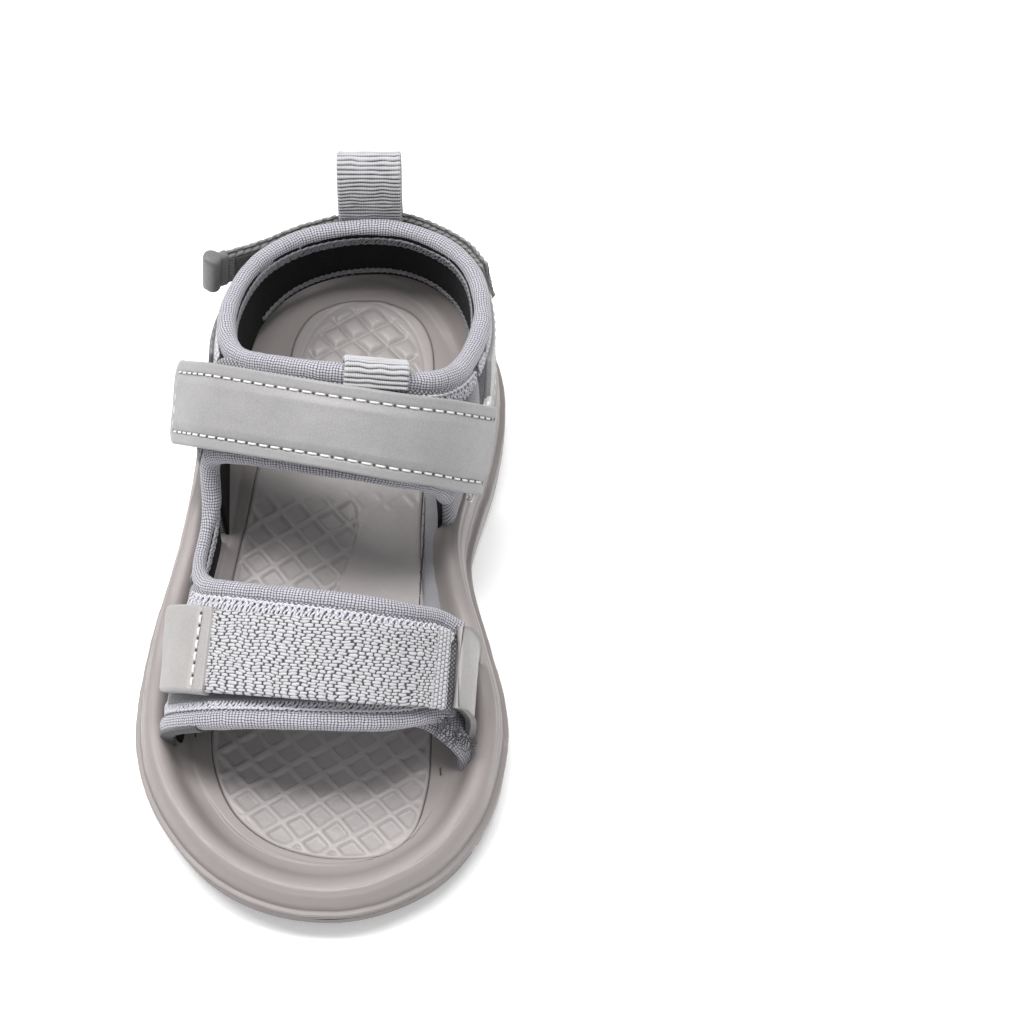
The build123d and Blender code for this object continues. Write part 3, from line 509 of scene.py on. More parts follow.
def leather(name, color, grain=1.0):
    """Coated leather: pebble grain, satin top, slight patchiness."""
    m = Mat(name)
    v = m.mapping(m.uv, (1, 1, 1))
    cell = m.voronoi(v, 1.25 * grain, "DISTANCE_TO_EDGE")
    cell2 = m.voronoi(v, 2.6 * grain, "DISTANCE_TO_EDGE")
    soft = m.noise(v, 0.11, 4, 0.55)
    fine = m.noise(v, 4.5, 3, 0.6)
    crease = m.ramp(cell, [(0.0, (0.0,) * 3), (0.16, (1.0,) * 3)])
    crease2 = m.ramp(cell2, [(0.0, (0.2,) * 3), (0.14, (1.0,) * 3)])
    c = m.ramp(soft, [(0.3, shade(color, 0.95)), (0.7, shade(color, 1.05))])
    c = m.mix(0.10, c, crease, "MULTIPLY")
    r = m.ramp(fine, [(0.3, (0.40,) * 3), (0.7, (0.56,) * 3)])
    nrm = m.bump(crease, 0.16, 0.10)
    nrm = m.bump(crease2, 0.14, 0.06, nrm)
    nrm = m.bump(m.noise(v, 0.35, 3, 0.5), 0.35, 0.35, nrm)
    nrm = m.bump(fine, 0.10, 0.05, nrm)
    return m.finish(c, r, nrm, spec=0.42, sheen=0.05)


def wave_uv(m, coord, pitch_mm, offset=0.0):
    """0..1 rounded wave of a coordinate given in mm."""
    a = m.math("MULTIPLY", coord, 2 * math.pi / pitch_mm)
    a = m.math("ADD", a, offset)
    return m.math("MULTIPLY_ADD", m.math("SINE", a), 0.5, 0.5)


def knit_tape(name, color, dark, pitch_u=0.75, pitch_v=0.62, depth=0.10, sheen=0.25):
    """Stretch binding tape: fine ribs along the tape crossed by darker rows of knit."""
    m = Mat(name)
    wob = m.noise(m.uv, 0.5, 2, 0.5)
    s = m.sep(m.uv)
    u = m.math("ADD", s[0], m.math("MULTIPLY", wob, 0.9))
    v = m.math("ADD", s[1], m.math("MULTIPLY", m.noise(m.uv, 0.22, 2, 0.5), 0.8))
    ru = wave_uv(m, u, pitch_u)
    rv = wave_uv(m, v, pitch_v)
    weave = m.math("MULTIPLY", m.math("POWER", ru, 0.45), m.math("POWER", rv, 0.45))
    fuzz = m.noise(m.uv, 6.0, 3, 0.7)
    h = m.math("ADD", weave, m.math("MULTIPLY", fuzz, 0.35))
    patch = m.noise(m.uv, 0.12, 3, 0.5)
    light = m.ramp(patch, [(0.3, shade(color, 0.93)), (0.7, shade(color, 1.06))])
    f = m.ramp(weave, [(0.12, (0, 0, 0)), (0.62, (1, 1, 1))])
    c = m.mix(f, dark, light)
    nrm = m.bump(h, 0.75, depth)
    return m.finish(c, 0.85, nrm, sheen=sheen, spec=0.18)


def grosgrain(name, color, dark):
    m = Mat(name)
    s = m.sep(m.uv)
    rib = m.attr("rib")
    cross = wave_uv(m, m.math("ADD", s[1], m.math("MULTIPLY", m.noise(m.uv, 1.2, 2, 0.5), 0.25)), 0.42)
    fuzz = m.noise(m.uv, 8.0, 3, 0.7)
    f = m.math("MULTIPLY", m.math("POWER", rib, 0.8), m.math("MULTIPLY_ADD", cross, 0.35, 0.65))
    f = m.math("ADD", f, m.math("MULTIPLY", m.math("SUBTRACT", fuzz, 0.5), 0.35), clamp=True)
    c = m.ramp(f, [(0.18, dark), (0.52, shade(color, 0.7)), (0.85, color)])
    nrm = m.bump(m.math("ADD", cross, m.math("MULTIPLY", fuzz, 0.8)), 0.6, 0.07)
    return m.finish(c, 0.8, nrm, sheen=0.2, spec=0.2)


def thread_weave(name, color, dark, attr="weave", spread=0.25, sheen=0.25):
    """Woven webbing whose yarns are real relief; colour follows the relief height."""
    m = Mat(name)
    w = m.attr(attr)
    fuzz = m.noise(m.uv, 7.0, 3, 0.7)
    tone = m.noise(m.uv, 0.9, 3, 0.6)
    f = m.math("ADD", w, m.math("MULTIPLY", m.math("SUBTRACT", fuzz, 0.5), spread), clamp=True)
    bright = m.ramp(tone, [(0.3, shade(color, 0.88)), (0.7, shade(color, 1.08))])
    c = m.mix(m.ramp(f, [(0.10, (0, 0, 0)), (0.55, (1, 1, 1))]), dark, bright)
    nrm = m.bump(fuzz, 0.7, 0.09)
    return m.finish(c, 0.82, nrm, sheen=sheen, spec=0.2)


def nap(name, color, sheen=0.4, scale=5.0):
    """Napped or brushed textile: short fibres, soft sheen."""
    m = Mat(name)
    a = m.noise(m.uv, scale, 4, 0.75)
    b = m.voronoi(m.uv, scale * 0.7, "F1")
    c = m.ramp(a, [(0.25, shade(color, 0.55)), (0.75, shade(color, 1.45))])
    nrm = m.bump(m.math("ADD", a, b), 0.8, 0.14)
    return m.finish(c, 0.95, nrm, sheen=sheen, spec=0.12)


def mesh_knit(name, color, dark, pitch=1.1):
    m = Mat(name)
    s = m.sep(m.uv)
    a = wave_uv(m, m.math("ADD", s[0], s[1]), pitch)
    b = wave_uv(m, m.math("SUBTRACT", s[0], s[1]), pitch)
    w = m.math("MULTIPLY", a, b)
    fuzz = m.noise(m.uv, 6, 3, 0.7)
    c = m.mix(m.ramp(w, [(0.05, (0, 0, 0)), (0.4, (1, 1, 1))]), dark, color)
    nrm = m.bump(m.math("ADD", w, m.math("MULTIPLY", fuzz, 0.5)), 0.7, 0.12)
    return m.finish(c, 0.88, nrm, sheen=0.2, spec=0.18)


def yarn(name, color, twist=0.9):
    m = Mat(name)
    s = m.sep(m.uv)
    tw = wave_uv(m, m.math("ADD", m.math("MULTIPLY", s[0], 1.0), m.math("MULTIPLY", s[1], 0.8)), twist)
    fuzz = m.noise(m.uv, 9, 2, 0.6)
    c = m.ramp(m.math("MULTIPLY_ADD", tw, 0.7, m.math("MULTIPLY", fuzz, 0.3)), [(0.1, shade(color, 0.72)), (0.7, color)])
    nrm = m.bump(tw, 0.7, 0.08)
    return m.finish(c, 0.7, nrm, sheen=0.2, spec=0.25)


SOLE_C = (0.320, 0.292, 0.287)
BED_C = (0.400, 0.374, 0.372)
M_SOLE = eva("moulded_foam", SOLE_C)
M_OUT = eva("outsole_rubber", shade(SOLE_C, 0.90), 0.04)
# footbed: painted shade in the sunken quilt cells, plus random scuffs
M_BED = eva("footbed_foam", BED_C, 0.06, True)
M_LEATHER = leather("strap_leather_grain", (0.295, 0.289, 0.291))
M_LEATHER_L = leather("tab_leather_light", (0.335, 0.322, 0.318), 1.1)
M_LEATHER_D = leather("tab_leather_dark", (0.15, 0.15, 0.15))
M_TAPE = knit_tape("binding_knit", (0.470, 0.463, 0.508), (0.095, 0.09, 0.108))
M_TAPE_D = nap("lower_binding_pile", (0.050, 0.050, 0.056), 0.3, 4.0)
M_FACE = mesh_knit("face_knit", (0.40, 0.39, 0.42), (0.10, 0.10, 0.11))
M_LINING = nap("black_lining", (0.006, 0.006, 0.0065), 0.04, 3.0)
M_RIB = grosgrain("grosgrain_ribbon", (0.50, 0.50, 0.52), (0.035, 0.035, 0.04))
M_WEB = thread_weave("jacquard_webbing", (0.50, 0.50, 0.52), (0.05, 0.05, 0.055), spread=0.55)
M_WEB_D = thread_weave("heel_webbing_weave", (0.24, 0.245, 0.24), (0.030, 0.030, 0.030))
M_OVER = mesh_knit("overlay_weave", (0.16, 0.165, 0.16), (0.045, 0.045, 0.045), 0.9)
M_LOOP = nap("loop_pile", (0.13, 0.13, 0.14), 0.5, 3.5)
M_HOOK = nap("hook_pile", (0.05, 0.055, 0.05), 0.2, 2.5)
M_YARN = yarn("overlock_yarn", (0.60, 0.59, 0.64))
# the same lavender yarn at half brightness: painted shade for loops on shaded faces (instep front, inside the heel),
# also used on the lower binding and the lateral overlay stitches
M_YARN_SHADED = yarn("overlock_yarn_shaded", (0.30, 0.30, 0.33))
M_STITCH = yarn("stitch_thread", (0.80, 0.79, 0.77), 0.5)
M_CUT = nap("cut_edge", (0.06, 0.06, 0.062), 0.3, 4.0)


def clear_plastic():
    m = Mat("ring_plastic_clear")
    m.b.inputs["Transmission Weight"].default_value = 0.55
    m.b.inputs["IOR"].default_value = 1.46
    n = m.noise(m.obj, 300, 2, 0.5)
    return m.finish((0.80, 0.80, 0.79), m.ramp(n, [(0.3, (0.16,) * 3), (0.7, (0.30,) * 3)]), m.bump(n, 0.1, 0.05), spec=0.5)


M_RING = clear_plastic()


def dress(ob, mat, slot, body="shoe", *replaces, padded=None):
    ob.data.materials.append(mat)
    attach(ob, body)
    if replaces:
        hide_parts(*replaces)
    return ob


# ------------------------------------------------------------------ sole unit
def resample(p, n, closed=False):
    q = np.vstack([p, p[:1]]) if closed else p
    s = np.concatenate([[0], np.cumsum(np.linalg.norm(np.diff(q, axis=0), axis=1))])
    t = np.linspace(0, s[-1], n + 1)[:-1] if closed else np.linspace(0, s[-1], n)
    return np.stack([np.interp(t, s, q[:, k]) for k in range(q.shape[1])], 1)


def smooth_table(points):
    y = np.linspace(-110, 110, 881)
    z = np.interp(y, [p[0] for p in points], [p[1] for p in points])
    k = np.exp(-np.linspace(-2.2, 2.2, 41) ** 2)
    z = np.convolve(np.pad(z, 20, mode="edge"), k / k.sum(), "valid")
    return lambda v: np.interp(v, y + SY, z)


def value_noise(x, y, seed, cell):
    """Smooth repeatable 2-D noise, -1..1."""
    r = np.random.RandomState(seed).rand(128, 128) * 2 - 1
    u, v = x / cell + 57.3, y / cell + 31.7
    iu, iv = np.floor(u).astype(int), np.floor(v).astype(int)
    fu, fv = u - iu, v - iv
    fu, fv = fu * fu * (3 - 2 * fu), fv * fv * (3 - 2 * fv)
    g = lambda a, b: r[a % 128, b % 128]
    return (g(iu, iv) * (1 - fu) + g(iu + 1, iv) * fu) * (1 - fv) + (g(iu, iv + 1) * (1 - fu) + g(iu + 1, iv + 1) * fu) * fv


def step(a, b, x):
    t = np.clip((x - a) / (b - a), 0, 1)
    return t * t * (3 - 2 * t)


rim, bed = smooth_table(RIM), smooth_table(BED)
NU = 720
outline = resample(catmull(OUTLINE, 2400, True) + [SX, SY], NU, True)
tang = norm(np.roll(outline, -1, 0) - np.roll(outline, 1, 0))
area = 0.5 * np.sum(outline[:, 0] * np.roll(outline[:, 1], -1) - np.roll(outline[:, 0], -1) * outline[:, 1])
inward = np.stack([-tang[:, 1], tang[:, 0]], 1) * (1 if area > 0 else -1)
arc_u = np.concatenate([[0], np.cumsum(np.linalg.norm(np.diff(outline, axis=0), axis=1))])
insert_c = resample(catmull(INSERT, 2400, True) + [SX, SY], 2400, True)
iarea = 0.5 * np.sum(insert_c[:, 0] * np.roll(insert_c[:, 1], -1) - np.roll(insert_c[:, 0], -1) * insert_c[:, 1])
if iarea * area < 0:
    insert_c = insert_c[::-1]


def inset_ring(d, z):
    q = outline + inward * np.asarray(d)[..., None] if np.ndim(d) else outline + inward * d
    zz = np.broadcast_to(z, (NU,))
    return np.column_stack([q, zz])


R, B = rim(outline[:, 1]), bed(outline[:, 1])
toe = step(-20, -70, outline[:, 1])                       # 1 at the toe, 0 from the arch back
ridge = 9.4 + 0.28 * (R - 14)
tuck = 2.4 * step(-58, -88, outline[:, 1]) + 0.3
rows = [inset_ring(3.6 + tuck, 4.55), inset_ring(1.6 + tuck, 4.6), inset_ring(0.7 + tuck, 4.85), inset_ring(0.35 + 0.75 * tuck, 5.6), inset_ring(0.2 + 0.40 * tuck, 6.6),
        inset_ring(0.10 + 0.12 * tuck, 4.5 + (ridge - 4.5) * 0.66), inset_ring(0.12, ridge - 1.2), inset_ring(0.32, ridge - 0.75), inset_ring(0.12, ridge - 0.42),
        inset_ring(0.05, ridge - 0.08), inset_ring(0.32, ridge + 0.22), inset_ring(0.95, ridge + 0.28), inset_ring(1.25, ridge + 0.50)]
for f in (0.12, 0.28, 0.46, 0.64, 0.80):
    rows.append(inset_ring(1.30 + 0.45 * f + 1.5 * f ** 3, ridge + 0.50 + (R - ridge - 0.50) * f))
rows += [inset_ring(3.1, R - 0.55), inset_ring(3.9, R - 0.12), inset_ring(4.8, R), inset_ring(5.8, R - 0.06), inset_ring(6.7, B + (R - B) * 0.91),
         inset_ring(7.5, B + (R - B) * 0.76), inset_ring(8.2, B + (R - B) * 0.57), inset_ring(8.9, B + (R - B) * 0.37), inset_ring(9.7, B + (R - B) * 0.19),
         inset_ring(10.7, B + (R - B) * 0.07), inset_ring(12.0, B + (R - B) * 0.01)]
inner = inset_ring(12.0, B)
# matching points on the footbed outline
d2 = ((inner[:, None, :2] - insert_c[None]) ** 2).sum(-1)
k = d2.argmin(1).astype(float)
k = np.unwrap(k * 2 * math.pi / 2400) * 2400 / (2 * math.pi)
k = np.maximum.accumulate(k)
pad = 24
kk = np.concatenate([k[-pad:] - 2400, k, k[:pad] + 2400])
k = np.convolve(kk, np.ones(2 * pad + 1) / (2 * pad + 1), "valid")
ins = np.stack([np.interp(k % 2400, np.arange(2401), np.append(insert_c[:, j], insert_c[0, j])) for j in range(2)], 1)
ins_out = norm(inner[:, :2] - ins)
for f in (0.2, 0.45, 0.7, 0.88):
    q = inner[:, :2] * (1 - f) + ins * f
    rows.append(np.column_stack([q, bed(q[:, 1])]))
b_ins = bed(ins[:, 1])
rows += [np.column_stack([ins + ins_out * 0.55, b_ins]), np.column_stack([ins + ins_out * 0.40, b_ins - 0.05]), np.column_stack([ins + ins_out * 0.18, b_ins - 0.35]),
         np.column_stack([ins + ins_out * 0.05, b_ins - 0.9]), np.column_stack([ins, b_ins - 2.5]), np.column_stack([ins, b_ins - 4.0])]
control = np.array(rows)
nk = len(rows)
M_ROWS = 230
sole_grid = catmull(control.reshape(nk, -1), M_ROWS).reshape(M_ROWS, NU, 3)
row_t = np.linspace(0, nk - 1, M_ROWS)
# moulded detail on the side wall: two flowing lines and faint flow texture
P = sole_grid
x_, y_, z_ = P[..., 0], P[..., 1], P[..., 2]
hgt = (z_ - ridge[None]) / np.maximum(R - ridge, 1)[None]
side_zone = step(11.5, 13.0, row_t)[:, None] * (1 - step(17.5, 19.0, row_t))[:, None]
u_ = arc_u[None] / arc_u[-1]
line1 = np.exp(-((hgt - 0.50 - 0.16 * np.sin(2 * math.pi * u_ * 2 + 0.6)) / 0.055) ** 2) * (1 - toe[None] * 0.95)
line2 = np.exp(-((hgt - 0.74 + 0.12 * np.sin(2 * math.pi * u_ * 2 + 1.9)) / 0.05) ** 2) * (1 - toe[None])
cut = 0.55 * line1 * side_zone + 0.35 * line2 * side_zone
lumps = value_noise(x_ + 0.7 * z_, y_, 3, 5.0) * 0.10 + value_noise(x_, y_ + z_, 5, 1.7) * 0.045
outer = 1 - step(18.0, 21.0, row_t)[:, None]
move = cut - lumps * (0.35 + 0.65 * outer) * step(3, 5, row_t)[:, None] * (1 - step(27, 29, row_t))[:, None]
P[..., 0] += inward[None, :, 0] * move
P[..., 1] += inward[None, :, 1] * move
P[..., 2] += np.where(outer < 0.5, value_noise(x_, y_, 8, 9.0) * 0.12 * (1 - step(28, 30, row_t)[:, None]), 0)
# small mould vents along the inner forefoot and the outer toe
for vx, vy, rr, hh in ((43.2, -46, 1.0, 0.8), (42.9, -58, 0.7, 0.4), (-41.5, -36, 0.7, 0.35), (41.2, -66.5, 0.6, 0.3)):
    dd = np.hypot(P[..., 0] - vx, P[..., 1] - vy)
    P[..., 2] += hh * np.exp(-(dd / rr) ** 2) * (outer > 0.5) * step(9, 12, row_t)[:, None]
faces = grid_faces(M_ROWS, NU, False, True)
verts = P.reshape(-1, 3)
uvs = np.stack([np.tile(arc_u, M_ROWS), np.repeat(row_t, NU)], -1)
c0 = len(verts)
verts = np.vstack([verts, [[1, 0, 4.55]], [[2, 0, 12.0]]])
uvs = np.vstack([uvs, [[0, 0]], [[0, 0]]])
j = np.arange(NU)
j2 = (j + 1) % NU
tris = np.vstack([np.stack([np.full(NU, c0), j, j2], -1), np.stack([np.full(NU, c0 + 1), (M_ROWS - 1) * NU + j2, (M_ROWS - 1) * NU + j], -1)])
midsole = dress(mixed_mesh("midsole_foam", verts, faces[:, ::-1], tris[:, ::-1], uvs), M_SOLE, "midsole_foam", "shoe", "midsole")

# ------------------------------------------------------------------ quilted footbed
E = np.linalg.inv(np.array([[3.68, 4.1], [-4.27, 2.6]]))


def quilt(x, y, scale=1.0, fill=0.7, top=0.55):
    """Raised pads with rounded shoulders between sunken diagonal lines, 0..1."""
    x = x + 0.35 * value_noise(x, y, 11, 7.0)
    y = y + 0.35 * value_noise(x, y, 12, 7.0)
    a = (E[0, 0] * x + E[0, 1] * y) / scale
    b = (E[1, 0] * x + E[1, 1] * y) / scale
    da = np.abs(a - np.round(a)) * 2
    db = np.abs(b - np.round(b)) * 2
    edge = np.minimum(da, db)
    shoulder = 1 - (1 - np.clip(edge / fill, 0, 1)) ** 2.2
    dome = (1 - (1 - da) ** 2 * 0.5) * (1 - (1 - db) ** 2 * 0.5)
    return top * shoulder + (1 - top) * dome * shoulder


NI, NT = 64, 1000
edge_i = resample(insert_c, NT, True)
spine_a, spine_b = np.array([0.5 + SX, -54.0]), np.array([6.6 + SX, 55.0])
ab = spine_b - spine_a
tt = np.clip(((edge_i - spine_a) @ ab) / (ab @ ab), 0, 1)
kern = np.ones(41) / 41
tts = np.convolve(np.concatenate([tt[-20:], tt, tt[:20]]), kern, "valid")
foot_s = spine_a + tts[:, None] * ab
rr = np.concatenate([[1.0, 0.9985, 0.996, 0.992, 0.985, 0.975], np.linspace(0.96, 0.0, NI - 6)])
G = foot_s[None] + (edge_i - foot_s)[None] * rr[:, None, None]
gx, gy = G[..., 0], G[..., 1]
dist = np.linalg.norm(edge_i - foot_s, axis=1)[None] * (1 - rr[:, None])
gz = bed(gy)
lip = np.clip(dist / 0.9, 0, 1)
gz = gz - 0.55 * (1 - np.sqrt(np.clip(1 - (1 - lip) ** 2, 0, 1)))
fore = 1 - step(12, 20, gy)
back = step(12, 22, gy)
bound = 4.5 + 2.2 * np.sin(gy * 0.16)
arch = step(-1.2, 1.2, gx - bound)                                       # inner half of the arch is smooth
win = step(-38, -30, gy) * (1 - step(12, 20, gy))
border = step(0.5, 1.5, dist)


def waffle(x, y, scale):
    """Sunken cells between broad raised lines; 0 on the lines, 1 on a cell's floor."""
    x = x + 0.30 * value_noise(x, y, 11, 7.0)
    y = y + 0.30 * value_noise(x, y, 12, 7.0)
    a = (E[0, 0] * x + E[0, 1] * y) / scale
    b = (E[1, 0] * x + E[1, 1] * y) / scale
    ka, kb = np.round(a), np.round(b)
    da, db = np.abs(a - ka) * 2, np.abs(b - kb) * 2
    floor_ = step(0.13, 0.36, da) * step(0.13, 0.36, db)
    tilt = (a - np.floor(a) - 0.5) * 0.35 + (b - np.floor(b) - 0.5) * 0.25
    return floor_, floor_ * tilt


cell, tilt = waffle(gx, gy, 1.06)
q_heel = quilt(gx - 1.0, gy, 1.14, 0.62, 0.40)
oval = np.hypot((gx - 7.2) / 14.6, (gy - 51) / 22.0)
heel_mask = 1 - step(0.90, 1.02, oval)
mask_f = (1 - arch * win) * border
gz = gz + fore * mask_f * (-0.62 * cell + 0.42 * tilt) + back * border * heel_mask * (1.25 * (q_heel - 0.62))
gz = gz - back * (0.32 * np.exp(-((oval - 1.07) / 0.016) ** 2))
gz = gz - win * fore * 0.30 * np.exp(-((gx - bound) / 0.30) ** 2) * step(0.5, 2, dist)
gz = gz + value_noise(gx, gy, 21, 6.0) * 0.10 + value_noise(gx, gy, 22, 1.1) * 0.03
gz = gz + 0.5 * np.exp(-((gy + 6) / 30) ** 2) * step(2, 16, gx)
# painted shade: darker on the sunken cell floors and low heel pads, lighter on the raised lines; the footbed material
# reads this attribute
cell_shade = np.clip(0.5 + fore * mask_f * (0.5 - 0.8 * cell) + back * heel_mask * 0.35 * (q_heel - 0.6), 0, 1)
top = np.stack([gx, gy, gz], -1)
bottom_ring = np.column_stack([edge_i, bed(edge_i[:, 1]) - 3.8])
V = np.vstack([bottom_ring, top.reshape(-1, 3)])
F = grid_faces(NI + 1, NT, False, True)
UVs = V[:, :2].copy()
bedmesh = mesh_from("footbed_quilted", V, F[:, ::-1], UVs, {"cell_shade": np.concatenate([np.zeros(NT), cell_shade.ravel()])})
import bmesh
bm = bmesh.new()
bm.from_mesh(bedmesh.data)
bmesh.ops.remove_doubles(bm, verts=bm.verts, dist=2e-6)
bmesh.ops.recalc_face_normals(bm, faces=bm.faces)
bm.to_mesh(bedmesh.data)
bm.free()
dress(bedmesh, M_BED, "footbed_foam", "shoe", "footbed", padded=1.0)

# light lining strip and moulded slit on the inner side of the arch
slit_y = np.linspace(-18, 17, 150)
slit_x = 22.7 + 0.5 * np.sin(slit_y * 0.11) + SX
nicks = np.abs(np.sin(slit_y * 2 * math.pi / 6.2)) < 0.14
slit = np.column_stack([slit_x + np.where(nicks, -0.25, 0), slit_y, bed(slit_y) + 0.5 + np.where(nicks, -0.2, 0.0)])
dress(tube_mesh("arch_slit_line", [slit], 0.17, 6), M_CUT, "lining_textile")
cuts = [np.array([(-29.6, -44.4, 12.78), (-29.45, -45.3, 12.80), (-29.3, -46.3, 12.70)]) + [SX, 0, 0], np.array([(27.6, -54.4, 12.78), (27.75, -55.4, 12.80), (27.8, -56.4, 12.70)]) + [SX, 0, 0]]
dress(tube_mesh("sole_margin_slits", [resample(c_, 12) for c_ in cuts], 0.20, 6), M_CUT, "lining_textile")
strip_y = np.linspace(-24, 20, 120)
cs = []
for f in np.linspace(0, 1, 18):
    w_ = 5.0 - 1.2 * (strip_y / 25) ** 2
    cs.append(np.column_stack([23.1 + SX + w_ * f, strip_y, bed(strip_y) + 0.35 + 1.1 * math.sin(math.pi * min(1, f * 1.05)) ** 0.6 + 0.9 * f + 0.08 * np.sin(strip_y * 1.3)]))
cs += [np.column_stack([23.1 + SX + w_, strip_y, bed(strip_y) - 1.2]), np.column_stack([23.1 + SX + 0 * w_, strip_y, bed(strip_y) - 1.2])]
C = np.array(cs).transpose(1, 0, 2)
n_, m_ = C.shape[:2]
uvc = np.stack([np.repeat(strip_y[:, None], m_, 1), np.tile(np.arange(m_) * 0.3, (n_, 1))], -1).reshape(-1, 2)
M_STRIP = mesh_knit("arch_strip_knit", (0.36, 0.355, 0.38), (0.24, 0.235, 0.26), 0.55)
dress(mesh_from("arch_side_strip", C.reshape(-1, 3), grid_faces(n_, m_, False, True), uvc), M_STRIP, "lining_textile", padded=0.8)

for name, mat in (("outsole", M_OUT), ("lasting_board", M_LINING)):
    ob = bpy.data.objects[name]
    ob.data.materials.clear()
    ob.data.materials.append(mat)

# ------------------------------------------------------------------ bands of the upper
def sample_range(stations, total, first, last, count, shift=True):
    """Part of a band between two CAD samples, resampled finer."""
    return Band(stations, count, first / (total - 1), (last - 1) / (total - 1), shift)


def body_section(band, top, bottom, r, margin, crown):
    def section(i):
        w = band.w[i] - 2 * margin
        p = round_box(w, top, bottom, r, 22, margin)
        t = np.clip((p[:, 0] - margin) / w, 0, 1)
        p[:, 1] += np.where(p[:, 1] > (top + bottom) / 2, crown * np.sin(math.pi * t) ** 0.7, 0)
        return p
    return section


VAMP_SHOWN = [((-36.2, -47.8, 10.4), VAMP[0][1]), ((-36.8, -48.8, 19.0), VAMP[1][1]), ((-34.0, -52.4, 27.2), VAMP[2][1])] + VAMP[3:] + [((31.4, -50.8, 27.8), (33.4, -29.8, 36.2))]
vamp_b, instep_b, heel_b = Band(VAMP_SHOWN, 122), Band(INSTEP, 130), Band(HEEL, 150)
side_b, flap_b, keeper_b = Band(SIDE, 40), Band(FLAP, 60), Band(KEEPER, 60)
for label, band in (("vamp", vamp_b), ("instep", instep_b), ("heel", heel_b)):
    dress(lofted(label + "_padded_band", band, body_section(band, -0.05, -3.1, 1.3, 0.9, 0.25)), M_FACE, "face_textile", "shoe",
          label + "_face", label + "_foam", padded=0.9)
    dress(lofted(label + "_lining_cloth", band, body_section(band, -3.05, -4.0, 0.4, 0.9, 0.0)), M_LINING, "lining_textile", "shoe", label + "_lining")
dress(lofted("side_wall_cloth", side_b, body_section(side_b, -0.05, -1.3, 0.5, 0.6, 0.1)), M_FACE, "face_textile", "shoe", "side_wall_face")
dress(lofted("side_wall_lining_cloth", side_b, body_section(side_b, -1.25, -2.4, 0.4, 0.6, 0.0)), M_LINING, "lining_textile", "shoe", "side_wall_lining")


def flap_section(i):
    w = flap_b.w[i] - 0.8
    return round_box(w, 0.0, -2.3, 0.9, 22, 0.4)


dress(lofted("medial_flap_cloth", flap_b, flap_section), M_TAPE, "face_textile", "shoe", "medial_flap", padded=0.8)


# ------------------------------------------------------------------ binding tapes
def roll(reach, thick, proud=0.75, tuck=0.75, lean=0.0):
    """Section of a padded tape rolled over an edge: fuller at the fold, thinning to its stitched hem."""
    a = np.linspace(0, 2 * math.pi, 40, endpoint=False)
    mid, half = -thick / 2, thick / 2
    x = np.cos(a)
    y = np.sin(a)
    ex = np.sign(x) * np.abs(x) ** 0.80
    ey = np.sign(y) * np.abs(y) ** 0.72
    across = (reach - tuck) / 2 + ex * (reach + tuck) / 2
    t = (across + tuck) / (reach + tuck)
    bulge = proud * np.sin(math.pi * np.clip(t, 0, 1) ** 0.75) ** 0.8 + 0.12
    depth = mid + np.where(y > 0, ey * (half + bulge), ey * (half + bulge * 0.8)) + lean * t
    # seam dip near the hem where the needle thread pulls the tape down
    dip = np.exp(-((t - 0.86) / 0.05) ** 2) * 0.35
    depth = depth - np.sign(y) * dip
    return np.stack([across, depth], 1)


def tape(name, edge, reach, thick, mat, slot_name, *nodes, proud=0.5, tuck=0.55, seed=1, pad_fill=0.9, pucker=0.10, vary=None):
    wob = value_noise(edge.s, edge.s * 0 + 3.1, seed, 9.0) * 0.06 + value_noise(edge.s, edge.s * 0 + 1.7, seed + 5, 2.6) * 0.03

    def section(i):
        th, rc = (thick, reach) if vary is None else vary(edge.s[i])
        base = roll(rc, th, proud, tuck)
        centre = np.array([(rc - tuck) / 2, -th / 2])
        p = centre + (base - centre) * (1 + wob[i])
        if vary is not None:
            p[:, 1] += (thick - th) * 0.0
        t = np.clip((p[:, 0] + tuck) / (rc + tuck), 0, 1)
        p[:, 1] += np.sign(p[:, 1] - centre[1]) * pucker * np.sin(edge.s[i] * 2 * math.pi / 2.4 + seed) * t ** 3
        return p
    return dress(swept(name, edge, section), mat, slot_name, "shoe", *nodes, padded=pad_fill)


def thin(parts, keep):
    return tuple(q[::keep] for q in parts)


def slice_edge(band, total, first, last, far):
    n = band.count - 1
    lo, hi = int(round(first / (total - 1) * n)), int(round((last - 1) / (total - 1) * n)) + 1
    return edge_of(band, far, lo, hi)


vamp_rear_e = slice_edge(vamp_b, 31, 8, 31, True)
vamp_front_e = slice_edge(vamp_b, 31, 4, 29, False)
side_e = slice_edge(side_b, 13, 1, 12, False)
instep_front_e = slice_edge(instep_b, 34, 7, 29, False)
instep_rear_e = slice_edge(instep_b, 34, 9, 28, True)
heel_top_e = slice_edge(heel_b, 40, 1, 39, False)
window = joined(thin(flipped(vamp_rear_e), 2), thin(side_e, 3), thin(instep_front_e, 2))
window_edge = Edge(*window, 420, soften=8)
len_v = Edge(*flipped(vamp_rear_e), 50).s[-1]
len_s = Edge(*side_e, 50).s[-1]


def window_size(s):
    k = float(step(len_v - 3, len_v + 5, np.float64(s)) * (1 - step(len_v + len_s - 2, len_v + len_s + 6, np.float64(s))))
    return 3.3 - 1.3 * k, 4.3 - 0.5 * k


